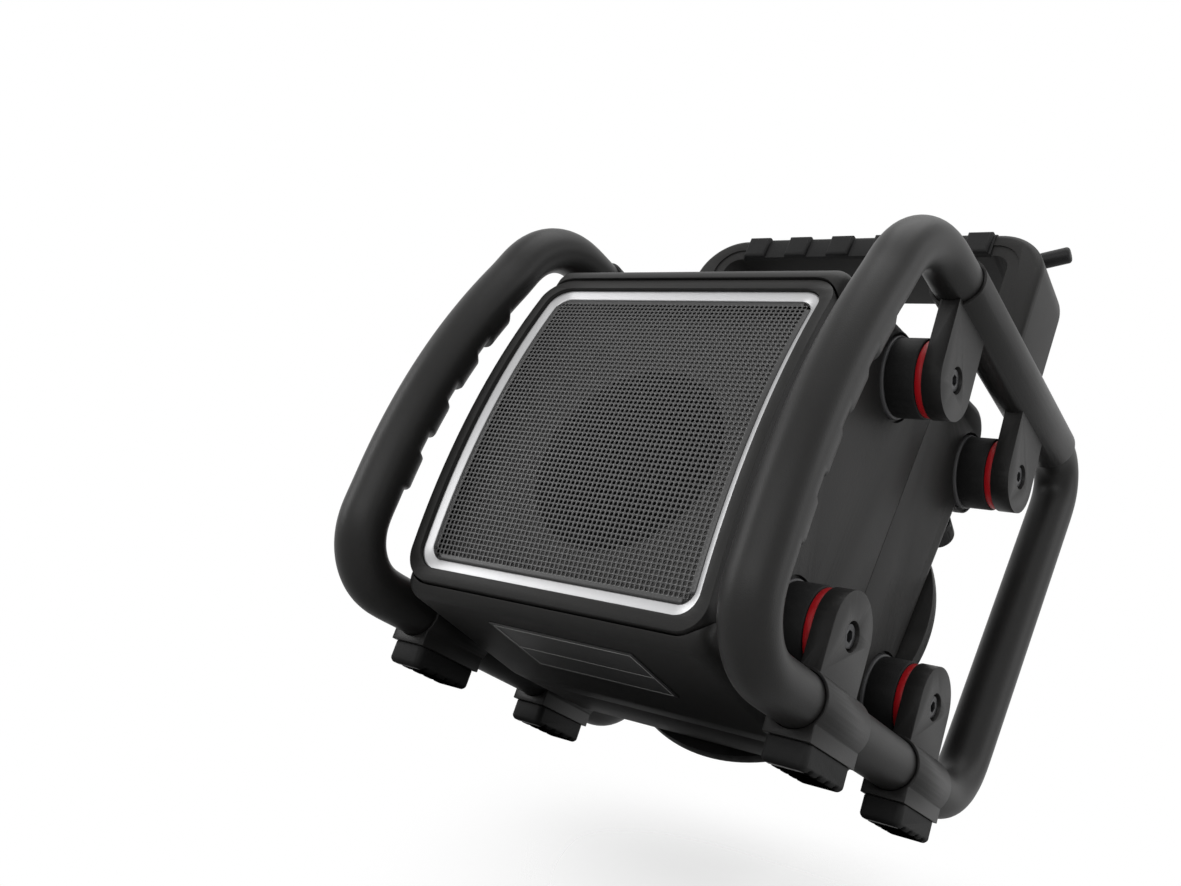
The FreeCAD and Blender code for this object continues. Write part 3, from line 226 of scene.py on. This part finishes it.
def drawn_metal(name, color, roughness, metallic=1.0, depth=0.00003):
    material, tree, shader = filmed(name, color, roughness, 0.05, 0.1)
    shader.inputs["Metallic"].default_value = metallic
    lines = place_group(tree, DRAWN_LINES, {"Scale": 700.0})
    bump_from(tree, lines.outputs["Height"], depth, shader)
    return material


def clear_window(name):
    material, tree, shader = filmed(name, (0.55, 0.6, 0.58), 0.08, 0.02, 0.03)
    shader.inputs["Transmission Weight"].default_value = 0.9
    shader.inputs["IOR"].default_value = 1.49
    return material


def punched_sheet_with_hole_shade(name, color):
    material, tree, shader = filmed(name, color, 0.5, 0.1, 0.1)
    dots = place_group(tree, PUNCHED_DOTS, {"Pitch": 0.0034, "Hole Radius": 0.0011})
    film = shader.inputs["Base Color"].links[0].from_socket
    # Inside each hole the colour turns near-black: painted shade standing for the dark depth seen
    # through the hole.
    mix = tree.nodes.new("ShaderNodeMix")
    mix.data_type = "RGBA"
    mix.inputs[7].default_value = (0.002, 0.002, 0.002, 1.0)
    tree.links.new(dots.outputs["Mask"], mix.inputs[0])
    tree.links.new(film, mix.inputs[6])
    tree.links.new(mix.outputs[2], shader.inputs["Base Color"])
    depth = math_node(tree, "SUBTRACT", 1.0, dots.outputs["Mask"])
    bump_from(tree, depth, 0.0006, shader)
    return material


FINISHES = {
    "tube_plastic": grained_plastic(
        "tube_plastic", (0.0105, 0.0102, 0.0099), 0.42, 1300.0, 0.00006, 0.2
    ),
    "shell_plastic": grained_plastic(
        "shell_plastic", (0.0125, 0.0122, 0.0118), 0.48, 1100.0, 0.00007, 0.17
    ),
    "dark_plastic": grained_plastic(
        "dark_plastic", (0.006, 0.006, 0.0062), 0.5, 1300.0, 0.00006, 0.24
    ),
    "soft_rubber": grained_plastic(
        "soft_rubber", (0.0055, 0.0055, 0.0056), 0.66, 700.0, 0.0001, 0.2, 0.3
    ),
    "red_ring": grained_plastic("red_ring", (0.36, 0.004, 0.008), 0.42, 1600.0, 0.00003, 0.3),
    "grey_disc": grained_plastic("grey_disc", (0.06, 0.06, 0.062), 0.5, 1400.0, 0.00006, 0.3),
    "silver_paint": drawn_metal("silver_paint", (0.42, 0.42, 0.425), 0.4, 0.75, 0.00001),
    "mesh_steel": grained_plastic(
        "mesh_steel", (0.02, 0.0196, 0.0195), 0.36, 2000.0, 0.00003, 0.55
    ),
    "bolt_steel": drawn_metal("bolt_steel", (0.42, 0.42, 0.44), 0.34),
    "black_steel": drawn_metal("black_steel", (0.028, 0.028, 0.03), 0.38, 0.6),
    "antenna_chrome": drawn_metal("antenna_chrome", (0.72, 0.72, 0.74), 0.12, 1.0, 0.000005),
    "cone_paper": grained_plastic("cone_paper", (0.004, 0.004, 0.004), 0.85, 380.0, 0.0003, 0.12),
    "board_green": grained_plastic("board_green", (0.015, 0.10, 0.04), 0.35, 500.0, 0.0001),
    "display_glass": clear_window("display_glass"),
    "display_face": grained_plastic("display_face", (0.20, 0.23, 0.17), 0.3, 2500.0, 0.00001),
    "plate_foil": drawn_metal("plate_foil", (0.03, 0.03, 0.03), 0.45, 0.2),
    "cell_wrap": grained_plastic("cell_wrap", (0.05, 0.05, 0.055), 0.3, 1800.0, 0.00002),
}
PRINT_FINISH = grained_plastic("print_grey", (0.42, 0.42, 0.41), 0.5, 1500.0, 0.00001, 0.3)
BAFFLE_FINISH = grained_plastic("baffle_board", (0.16, 0.158, 0.155), 0.7, 500.0, 0.0002, 0.2)
# The back grille's holes are coloured near-black as painted shade.
ROUND_GRILLE_FINISH = punched_sheet_with_hole_shade("punched_round_grille", (0.016, 0.016, 0.017))

node_slots = {part["node"]: part["material_slot"] for part in frame["record"]["subparts"]}
node_bodies = {
    node: body for body, nodes in frame["record"]["behaviour"]["bodies"].items() for node in nodes
}
for node, obj in frame["nodes"].items():
    obj.data.materials.clear()
    obj.data.materials.append(FINISHES[node_slots[node]])
frame["nodes"]["round_grille"].data.materials[0] = ROUND_GRILLE_FINISH
frame["nodes"]["speaker_baffle"].data.materials[0] = BAFFLE_FINISH


# Pieces that take the place of CAD solids

def add_piece(name, mesh, slot, body="base"):
    piece = bpy.data.objects.new(name, mesh)
    scene.collection.objects.link(piece)
    mesh.materials.clear()
    mesh.materials.append(FINISHES[slot])
    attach(piece, body)
    return piece


BEVEL_SEGMENTS = 2
BEVEL_ANGLE = 32.0
WELD_DISTANCE = 0.000005
FLAT_ANGLE = 0.6


def softened(node, width):
    """The CAD solid with its machined corners broken as the mould leaves them."""
    mesh = frame["nodes"][node].data.copy()
    mesh.name = node + "_moulded"
    form = bmesh.new()
    form.from_mesh(mesh)
    bmesh.ops.remove_doubles(form, verts=form.verts, dist=WELD_DISTANCE)
    bmesh.ops.dissolve_limit(
        form, angle_limit=math.radians(FLAT_ANGLE), verts=form.verts, edges=form.edges
    )
    form.to_mesh(mesh)
    form.free()
    mesh.shade_smooth()
    piece = add_piece(node + "_moulded", mesh, node_slots[node], node_bodies[node])
    bevel = piece.modifiers.new("broken_edges", "BEVEL")
    bevel.width = width * MM
    bevel.segments = BEVEL_SEGMENTS
    bevel.limit_method = "ANGLE"
    bevel.angle_limit = math.radians(BEVEL_ANGLE)
    bevel.use_clamp_overlap = True
    bevel.harden_normals = True
    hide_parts(node)
    return piece


def grid_mesh(name, rings, closed_path):
    """Quads between successive closed rings of points."""
    form = bmesh.new()
    rows = [[form.verts.new(p) for p in ring] for ring in rings]
    count = len(rows)
    for i in range(count if closed_path else count - 1):
        a = rows[i]
        b = rows[(i + 1) % count]
        for k in range(len(a)):
            j = (k + 1) % len(a)
            form.faces.new((a[k], a[j], b[j], b[k]))
    bmesh.ops.recalc_face_normals(form, faces=form.faces)
    mesh = bpy.data.meshes.new(name)
    form.to_mesh(mesh)
    form.free()
    mesh.shade_smooth()
    return mesh


# Roll cages: one smooth tube each, with four finger ridges moulded into the front run

SHIFT_Y = 148.393
CAGE_X = 131.0
TUBE_RADIUS = 15.0
CAGE_CORNERS = [
    ((-342.4, 32.8), 36.7),
    ((-281.6, 301.9), 58.6),
    ((44.1, 295.6), 25.9),
    ((-26.5, 32.8), 40.0),
]
FRONT_BOW = 10.5
PATH_STEP = 1.6
PATH_SMOOTHING = 36
RIDGE_Z = (104.0, 142.0, 180.0, 218.0)
RIDGE_LENGTH = 22.0
RIDGE_HEIGHT = 4.4
RIDGE_EDGE = 2.4
RIDGED_Y = -270.0
RIDGED_Z = (75.0, 245.0)
TUBE_SIDES = 48
BOWED_STEPS = 170
STRAIGHT_STEPS = 24


def corner_arc(before, point, after, radius, steps=26):
    back = (point - before).normalized()
    ahead = (after - point).normalized()
    half = math.acos(back.dot(ahead)) / 2.0
    reach = radius / math.tan(math.pi / 2.0 - half)
    start = point - back * reach
    end = point + ahead * reach
    centre = point + (ahead - back).normalized() * (radius / math.cos(half))
    first = start - centre
    turn = 2.0 * half
    points = []
    for k in range(steps + 1):
        share = k / steps
        angle = -turn * share
        points.append(centre + Vector((
            first.x * math.cos(angle) - first.y * math.sin(angle),
            first.x * math.sin(angle) + first.y * math.cos(angle),
        )))
    return points


def cage_path():
    """Points of the tube's middle line in the side view, with the front run bowed forwards."""
    corners = [(Vector(p), r) for p, r in CAGE_CORNERS]
    path = []
    for i in range(4):
        before = corners[i - 1][0]
        point, radius = corners[i]
        after = corners[(i + 1) % 4][0]
        arc = corner_arc(before, point, after, radius)
        if path:
            fill_run(path, path[-1], arc[0], FRONT_BOW if i == 1 else 0.0)
        path += arc
    fill_run(path, path[-1], path[0], 0.0)
    path = even_steps(path, PATH_STEP)
    for _ in range(PATH_SMOOTHING):
        path = [
            path[i - 1] * 0.25 + path[i] * 0.5 + path[(i + 1) % len(path)] * 0.25
            for i in range(len(path))
        ]
    return path


def even_steps(path, step):
    """The same closed line with its points evenly apart."""
    spans = [(path[(i + 1) % len(path)] - path[i]).length for i in range(len(path))]
    count = round(sum(spans) / step)
    even = []
    i = 0
    passed = 0.0
    for k in range(count):
        target = sum(spans) * k / count
        while passed + spans[i] < target:
            passed += spans[i]
            i += 1
        share = (target - passed) / spans[i] if spans[i] else 0.0
        even.append(path[i].lerp(path[(i + 1) % len(path)], share))
    return even


def fill_run(path, start, end, bow):
    """Adds the points between two corners, bowed outwards in the middle by this much."""
    run = end - start
    outward = Vector((-run.y, run.x)).normalized()
    steps = BOWED_STEPS if bow else STRAIGHT_STEPS
    for k in range(1, steps):
        share = k / steps
        path.append(start + run * share + outward * bow * 4.0 * share * (1.0 - share))


def ridge_at(height):
    """How far the inner side stands out at this height of the front run."""
    best = 0.0
    for z in RIDGE_Z:
        away = abs(height - z) - RIDGE_LENGTH / 2.0
        share = min(1.0, max(0.0, 0.5 - away / RIDGE_EDGE))
        best = max(best, share * share * (3.0 - 2.0 * share))
    return best * RIDGE_HEIGHT


def cage_rings(side):
    path = cage_path()
    count = len(path)
    rings = []
    for i in range(count):
        tangent = (path[(i + 1) % count] - path[i - 1]).normalized()
        inward = Vector((tangent.y, -tangent.x))
        ridged = path[i].x < RIDGED_Y and RIDGED_Z[0] < path[i].y < RIDGED_Z[1]
        ridge = ridge_at(path[i].y) if ridged else 0.0
        ring = []
        for k in range(TUBE_SIDES):
            angle = 2.0 * math.pi * k / TUBE_SIDES
            across = math.cos(angle) * TUBE_RADIUS
            inner = math.sin(angle)
            reach = TUBE_RADIUS * inner + ridge * max(0.0, inner) ** 0.6
            point = path[i] + inward * reach
            ring.append((
                (side * CAGE_X + across) * MM, (point.x + SHIFT_Y) * MM, point.y * MM
            ))
        rings.append(ring)
    return rings


for side, word in ((1.0, "right"), (-1.0, "left")):
    tube = add_piece(
        word + "_cage_tube_moulded",
        grid_mesh(word + "_cage_tube_moulded", cage_rings(side), True),
        "tube_plastic",
    )
    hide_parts(word + "_cage_tube")


# Mesh grille with its round holes

FRONT_MID = (-303.0 + SHIFT_Y, 149.0)
FRONT_LEAN = math.radians(8.0)
BOW_RADIUS = 465.0
BOW_RISE = 10.2
SHEET_HALF = (89.35, 93.85)
SHEET_CORNER = 9.0
SHEET_DROP = 4.5
HOLE_COLUMNS = 60
HOLE_ROWS = 63
HOLE_RADIUS = 1.17
OUTLINE_MARGIN = 0.3
PLAIN_RIM = 2.2
SHEET_THICKNESS = 0.9


def on_front(x, up, drop):
    """A point on the bowed front, drop behind the bezel's foremost surface."""
    radius = BOW_RADIUS - drop
    out = BOW_RISE - BOW_RADIUS + math.sqrt(radius * radius - up * up)
    turn = math.pi / 2.0 - FRONT_LEAN
    y = FRONT_MID[0] + up * math.cos(turn) - out * math.sin(turn)
    z = FRONT_MID[1] + up * math.sin(turn) + out * math.cos(turn)
    return (x * MM, y * MM, z * MM)


def outside_corner(x, up, margin):
    """True where the point lies beyond the sheet's rounded outline, less a margin."""
    dx = abs(x) - (SHEET_HALF[0] - SHEET_CORNER)
    dz = abs(up) - (SHEET_HALF[1] - SHEET_CORNER)
    if dx > 0.0 and dz > 0.0:
        return math.hypot(dx, dz) > SHEET_CORNER - margin
    return dx > SHEET_CORNER - margin or dz > SHEET_CORNER - margin


def punched_grille():
    """The bowed sheet with its holes in square rows, each hole an octagon in its own cell."""
    pitch_x = 2.0 * SHEET_HALF[0] / HOLE_COLUMNS
    pitch_z = 2.0 * SHEET_HALF[1] / HOLE_ROWS
    form = bmesh.new()
    made = {}

    def vertex(i, j):
        if (i, j) not in made:
            x = -SHEET_HALF[0] + i * pitch_x / 2.0
            up = -SHEET_HALF[1] + j * pitch_z / 2.0
            made[i, j] = form.verts.new(on_front(x, up, SHEET_DROP))
        return made[i, j]

    around = [(0, 0), (1, 0), (2, 0), (2, 1), (2, 2), (1, 2), (0, 2), (0, 1)]
    for column in range(HOLE_COLUMNS):
        for row in range(HOLE_ROWS):
            x = -SHEET_HALF[0] + (column + 0.5) * pitch_x
            up = -SHEET_HALF[1] + (row + 0.5) * pitch_z
            if outside_corner(x, up, OUTLINE_MARGIN):
                continue
            edge = [vertex(2 * column + a, 2 * row + b) for a, b in around]
            if outside_corner(x, up, PLAIN_RIM):
                form.faces.new(edge)
                continue
            hole = []
            for k in range(8):
                angle = math.radians(225.0 + 45.0 * k)
                hole.append(form.verts.new(on_front(
                    x + HOLE_RADIUS * math.cos(angle), up + HOLE_RADIUS * math.sin(angle),
                    SHEET_DROP,
                )))
            for k in range(8):
                j = (k + 1) % 8
                form.faces.new((edge[k], edge[j], hole[j], hole[k]))
    mesh = bpy.data.meshes.new("punched_grille")
    form.to_mesh(mesh)
    form.free()
    mesh.shade_smooth()
    return mesh


grille = add_piece("punched_grille", punched_grille(), "mesh_steel")
sheet = grille.modifiers.new("sheet_thickness", "SOLIDIFY")
sheet.thickness = SHEET_THICKNESS * MM
sheet.offset = -1.0
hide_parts("mesh_grille")


# Silver frame: a ring whose face slopes in to the grille

# Each loop: half width, half height, corner radius, drop behind the bezel's foremost surface
SILVER_LOOPS = (
    (94.85, 100.85, 13.0, 6.0),
    (94.85, 100.85, 13.0, 3.1),
    (94.6, 100.6, 12.8, 2.65),
    (94.1, 100.1, 12.5, 2.5),
    (93.6, 99.6, 12.2, 2.6),
    (90.1, 94.7, 9.4, 4.1),
    (89.7, 94.2, 9.1, 4.4),
    (89.5, 94.0, 9.0, 5.2),
    (89.5, 94.0, 9.0, 8.0),
)


CORNER_STEPS = 14
EDGE_STEPS = 24
EDGE_LENGTH = 20.0


def rounded_loop(half_x, half_z, radius, drop):
    """Points round a rounded rectangle on the bowed front."""
    points = []
    for sx, sz, first in ((1, 1, 0), (-1, 1, 90), (-1, -1, 180), (1, -1, 270)):
        centre = (sx * (half_x - radius), sz * (half_z - radius))
        for k in range(CORNER_STEPS + 1):
            angle = math.radians(first + 90.0 * k / CORNER_STEPS)
            points.append((
                centre[0] + radius * math.cos(angle), centre[1] + radius * math.sin(angle)
            ))
    dense = []
    for i, point in enumerate(points):
        after = points[(i + 1) % len(points)]
        steps = EDGE_STEPS if math.dist(point, after) > EDGE_LENGTH else 1
        for k in range(steps):
            share = k / steps
            dense.append((
                point[0] + (after[0] - point[0]) * share, point[1] + (after[1] - point[1]) * share
            ))
    return [on_front(x, up, drop) for x, up in dense]


silver = add_piece(
    "silver_frame_painted",
    grid_mesh("silver_frame_painted", [rounded_loop(*loop) for loop in SILVER_LOOPS], False),
    "silver_paint",
)
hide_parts("silver_frame")


# Printed outline of the bare type plate, on its lower face

PLATE_START = (-290.18, 31.07)
PLATE_ALONG = (0.99254, -0.12189)
PLATE_HALF = 49.5
PLATE_WIDTH = 56.0
PLATE_THICKNESS = 0.8
PRINT_INSET = 2.0
PRINT_LINE = 0.55
PRINT_DIVIDER = 30.0
PRINT_SUNK = 0.02
PRINT_PROUD = 0.08


def on_plate(x, along, depth):
    """A point this far across, along and down from the upper face of the type plate."""
    y = PLATE_START[0] + PLATE_ALONG[0] * along + PLATE_ALONG[1] * depth
    z = PLATE_START[1] + PLATE_ALONG[1] * along - PLATE_ALONG[0] * depth
    return (x * MM, (y + SHIFT_Y) * MM, z * MM)


def plate_outline():
    form = bmesh.new()
    x = PLATE_HALF - PRINT_INSET
    low = PRINT_INSET
    high = PLATE_WIDTH - PRINT_INSET
    bars = [
        (-x, x, low, low + PRINT_LINE),
        (-x, x, high - PRINT_LINE, high),
        (-x, -x + PRINT_LINE, low, high),
        (x - PRINT_LINE, x, low, high),
        (-x, x, PRINT_DIVIDER, PRINT_DIVIDER + PRINT_LINE),
    ]
    for x0, x1, a0, a1 in bars:
        corners = [(x0, a0), (x1, a0), (x1, a1), (x0, a1)]
        upper, lower = (
            [form.verts.new(on_plate(*corner, PLATE_THICKNESS + proud)) for corner in corners]
            for proud in (-PRINT_SUNK, PRINT_PROUD)
        )
        form.faces.new(lower)
        form.faces.new(list(reversed(upper)))
        for k in range(4):
            j = (k + 1) % 4
            form.faces.new((upper[k], upper[j], lower[j], lower[k]))
    bmesh.ops.recalc_face_normals(form, faces=form.faces)
    mesh = bpy.data.meshes.new("plate_outline")
    form.to_mesh(mesh)
    form.free()
    return mesh


printed = add_piece("plate_outline", plate_outline(), "plate_foil")
printed.data.materials[0] = PRINT_FINISH


# Moulded and turned pieces with broken edges

for node, width in (
    ("right_front_lower_clamp", 0.8), ("right_rear_lower_clamp", 0.8),
    ("left_front_lower_clamp", 0.8), ("left_rear_lower_clamp", 0.8),
    ("right_upper_clamp", 0.8), ("left_upper_clamp", 0.8),
    ("right_feet", 0.9), ("left_feet", 0.9),
    ("damper_rings", 0.6), ("rubber_buffers", 0.8), ("seat_discs", 0.5), ("cage_bolts", 0.4),
    ("bezel_frame", 1.1), ("front_shell", 0.5), ("rear_shell", 0.5),
    ("control_side_rim", 0.8), ("type_plate", 0.2), ("battery_door", 0.5),
    ("carry_handle", 0.9), ("handle_grip", 0.9), ("control_panel", 0.4),
    ("antenna_tip", 0.3), ("volume_knob", 0.3), ("tuning_knob", 0.3),
    ("antenna_turret", 0.4), ("antenna_foot", 0.4),
    ("power_inlet", 0.4), ("housing_screws", 0.2),
):
    softened(node, width)


# Floor, light and camera

def floor_material():
    """Pale and matte from above, and clear from below."""
    material = bpy.data.materials.new("pale_floor")
    material.use_nodes = True
    tree = material.node_tree
    tree.nodes.clear()
    pale = tree.nodes.new("ShaderNodeBsdfDiffuse")
    pale.inputs["Color"].default_value = (0.9, 0.9, 0.9, 1.0)
    clear = tree.nodes.new("ShaderNodeBsdfTransparent")
    side = tree.nodes.new("ShaderNodeNewGeometry")
    mix = tree.nodes.new("ShaderNodeMixShader")
    out = tree.nodes.new("ShaderNodeOutputMaterial")
    tree.links.new(side.outputs["Backfacing"], mix.inputs[0])
    tree.links.new(pale.outputs[0], mix.inputs[1])
    tree.links.new(clear.outputs[0], mix.inputs[2])
    tree.links.new(mix.outputs[0], out.inputs["Surface"])
    return material


def put_on_stage(name, form, material):
    mesh = bpy.data.meshes.new(name)
    form.to_mesh(mesh)
    form.free()
    mesh.materials.append(material)
    ground = bpy.data.objects.new(name, mesh)
    scene.collection.objects.link(ground)


FLOOR_HALF = 6.0
form = bmesh.new()
bmesh.ops.create_grid(form, x_segments=2, y_segments=2, size=FLOOR_HALF)
put_on_stage("floor", form, floor_material())


# The radio leans back on its rear feet, so the ground under it in the main view is a slope
# below Z = 0. The patch carries its soft shadow and fades out towards the floor's line.
SLOPE_NORMAL = (-0.0072, -0.5111, 0.8594)
SLOPE_OFFSET = -0.0378
SLOPE_X = (-0.5, 0.7)
SLOPE_Y = (-0.5, 0.0722)
SLOPE_UNDER_FLOOR = -0.0006
SHADOW_MIDDLE = (0.11, 0.0, -0.044)
SHADOW_FULL = 0.05
SHADOW_END = 0.26
SHADOW_AMOUNT = 0.42
SHADOW_LINE = (0.068, -0.03)


def contact_shadow_material():
    """Bright and matte for the camera, fading out at its rim, and clear for all other rays."""
    material = bpy.data.materials.new("contact_shadow")
    material.use_nodes = True
    tree = material.node_tree
    tree.nodes.clear()
    bright = tree.nodes.new("ShaderNodeBsdfDiffuse")
    bright.inputs["Color"].default_value = (1.0, 1.0, 1.0, 1.0)
    clear = tree.nodes.new("ShaderNodeBsdfTransparent")
    place = tree.nodes.new("ShaderNodeTexCoord")
    away = tree.nodes.new("ShaderNodeVectorMath")
    away.operation = "DISTANCE"
    away.inputs[1].default_value = SHADOW_MIDDLE
    fade = tree.nodes.new("ShaderNodeMapRange")
    fade.interpolation_type = "SMOOTHSTEP"
    fade.inputs["From Min"].default_value = SHADOW_FULL
    fade.inputs["From Max"].default_value = SHADOW_END
    fade.inputs["To Min"].default_value = SHADOW_AMOUNT
    fade.inputs["To Max"].default_value = 0.0
    split = tree.nodes.new("ShaderNodeSeparateXYZ")
    edge = tree.nodes.new("ShaderNodeMapRange")
    edge.interpolation_type = "SMOOTHSTEP"
    edge.inputs["From Min"].default_value = SHADOW_LINE[0]
    edge.inputs["From Max"].default_value = SHADOW_LINE[1]
    rays = tree.nodes.new("ShaderNodeLightPath")
    side = tree.nodes.new("ShaderNodeNewGeometry")
    mix = tree.nodes.new("ShaderNodeMixShader")
    out = tree.nodes.new("ShaderNodeOutputMaterial")
    tree.links.new(place.outputs["Object"], away.inputs[0])
    tree.links.new(away.outputs["Value"], fade.inputs["Value"])
    facing = math_node(tree, "SUBTRACT", 1.0, side.outputs["Backfacing"])
    seen = math_node(tree, "MULTIPLY", rays.outputs["Is Camera Ray"], facing)
    tree.links.new(place.outputs["Object"], split.inputs["Vector"])
    tree.links.new(split.outputs["Y"], edge.inputs["Value"])
    shown = math_node(tree, "MULTIPLY", fade.outputs["Result"], edge.outputs["Result"])
    amount = math_node(tree, "MULTIPLY", seen, shown)
    tree.links.new(amount, mix.inputs[0])
    tree.links.new(clear.outputs[0], mix.inputs[1])
    tree.links.new(bright.outputs[0], mix.inputs[2])
    tree.links.new(mix.outputs[0], out.inputs["Surface"])
    return material


def slope_height(x, y):
    return (SLOPE_OFFSET - SLOPE_NORMAL[0] * x - SLOPE_NORMAL[1] * y) / SLOPE_NORMAL[2]


form = bmesh.new()
form.faces.new([
    form.verts.new((x, y, min(slope_height(x, y), SLOPE_UNDER_FLOOR)))
    for x, y in (
        (SLOPE_X[0], SLOPE_Y[0]), (SLOPE_X[1], SLOPE_Y[0]),
        (SLOPE_X[1], SLOPE_Y[1]), (SLOPE_X[0], SLOPE_Y[1]),
    )
])
put_on_stage("contact_shadow", form, contact_shadow_material())


# Studio: even light on the radio, plain white behind it

FILL_LEVEL = 0.45
WHITE_LEVEL = 1.0
world = bpy.data.worlds.new("studio")
scene.world = world
world.use_nodes = True
tree = world.node_tree
tree.nodes.clear()
rays = tree.nodes.new("ShaderNodeLightPath")
seen = math_node(
    tree, "MAXIMUM", rays.outputs["Is Camera Ray"], rays.outputs["Is Transmission Ray"]
)
seen = math_node(tree, "MAXIMUM", seen, rays.outputs["Is Glossy Ray"])
strength = tree.nodes.new("ShaderNodeMapRange")
strength.inputs["To Min"].default_value = FILL_LEVEL
strength.inputs["To Max"].default_value = WHITE_LEVEL
tree.links.new(seen, strength.inputs["Value"])
background = tree.nodes.new("ShaderNodeBackground")
background.inputs["Color"].default_value = (1.0, 1.0, 1.0, 1.0)
tree.links.new(strength.outputs["Result"], background.inputs["Strength"])
world_out = tree.nodes.new("ShaderNodeOutputWorld")
tree.links.new(background.outputs[0], world_out.inputs["Surface"])


def softbox(name, place, aim, size, power):
    data = bpy.data.lights.new(name, "AREA")
    data.shape = "RECTANGLE"
    data.size, data.size_y = size
    data.energy = power
    lamp = bpy.data.objects.new(name, data)
    lamp.location = place
    lamp.rotation_euler = (Vector(aim) - Vector(place)).to_track_quat("-Z", "Y").to_euler()
    scene.collection.objects.link(lamp)


middle = (0.0, 0.0, 0.2)
softbox("left_softbox", (-1.2, -1.0, 0.35), middle, (0.35, 1.3), 9.5)
softbox("right_softbox", (1.35, 0.55, 0.75), middle, (0.5, 1.2), 4.5)
softbox("top_softbox", (0.1, -0.2, 1.7), middle, (1.2, 1.2), 9.0)
softbox("low_softbox", (0.3, -1.3, 0.3), middle, (1.4, 0.5), 6.0)

CAMERA_LENS = 37.78
CAMERA_SENSOR = 36.0
CAMERA_PLACE = (0.411777, -0.662833, -0.06809)
CAMERA_RIGHT = (0.787097, 0.526931, 0.320657)
CAMERA_DOWN = (0.077415, 0.43135, -0.898857)
CAMERA_AHEAD = (-0.611951, 0.732312, 0.298722)

camera_data = bpy.data.cameras.new("camera")
camera_data.sensor_width = CAMERA_SENSOR
camera_data.lens = CAMERA_LENS
camera_data.clip_start = 0.01
camera = bpy.data.objects.new("camera", camera_data)
turn = Matrix((
    Vector(CAMERA_RIGHT), -Vector(CAMERA_DOWN), -Vector(CAMERA_AHEAD)
)).transposed().to_4x4()
camera.matrix_world = Matrix.Translation(CAMERA_PLACE) @ turn
scene.collection.objects.link(camera)
scene.camera = camera
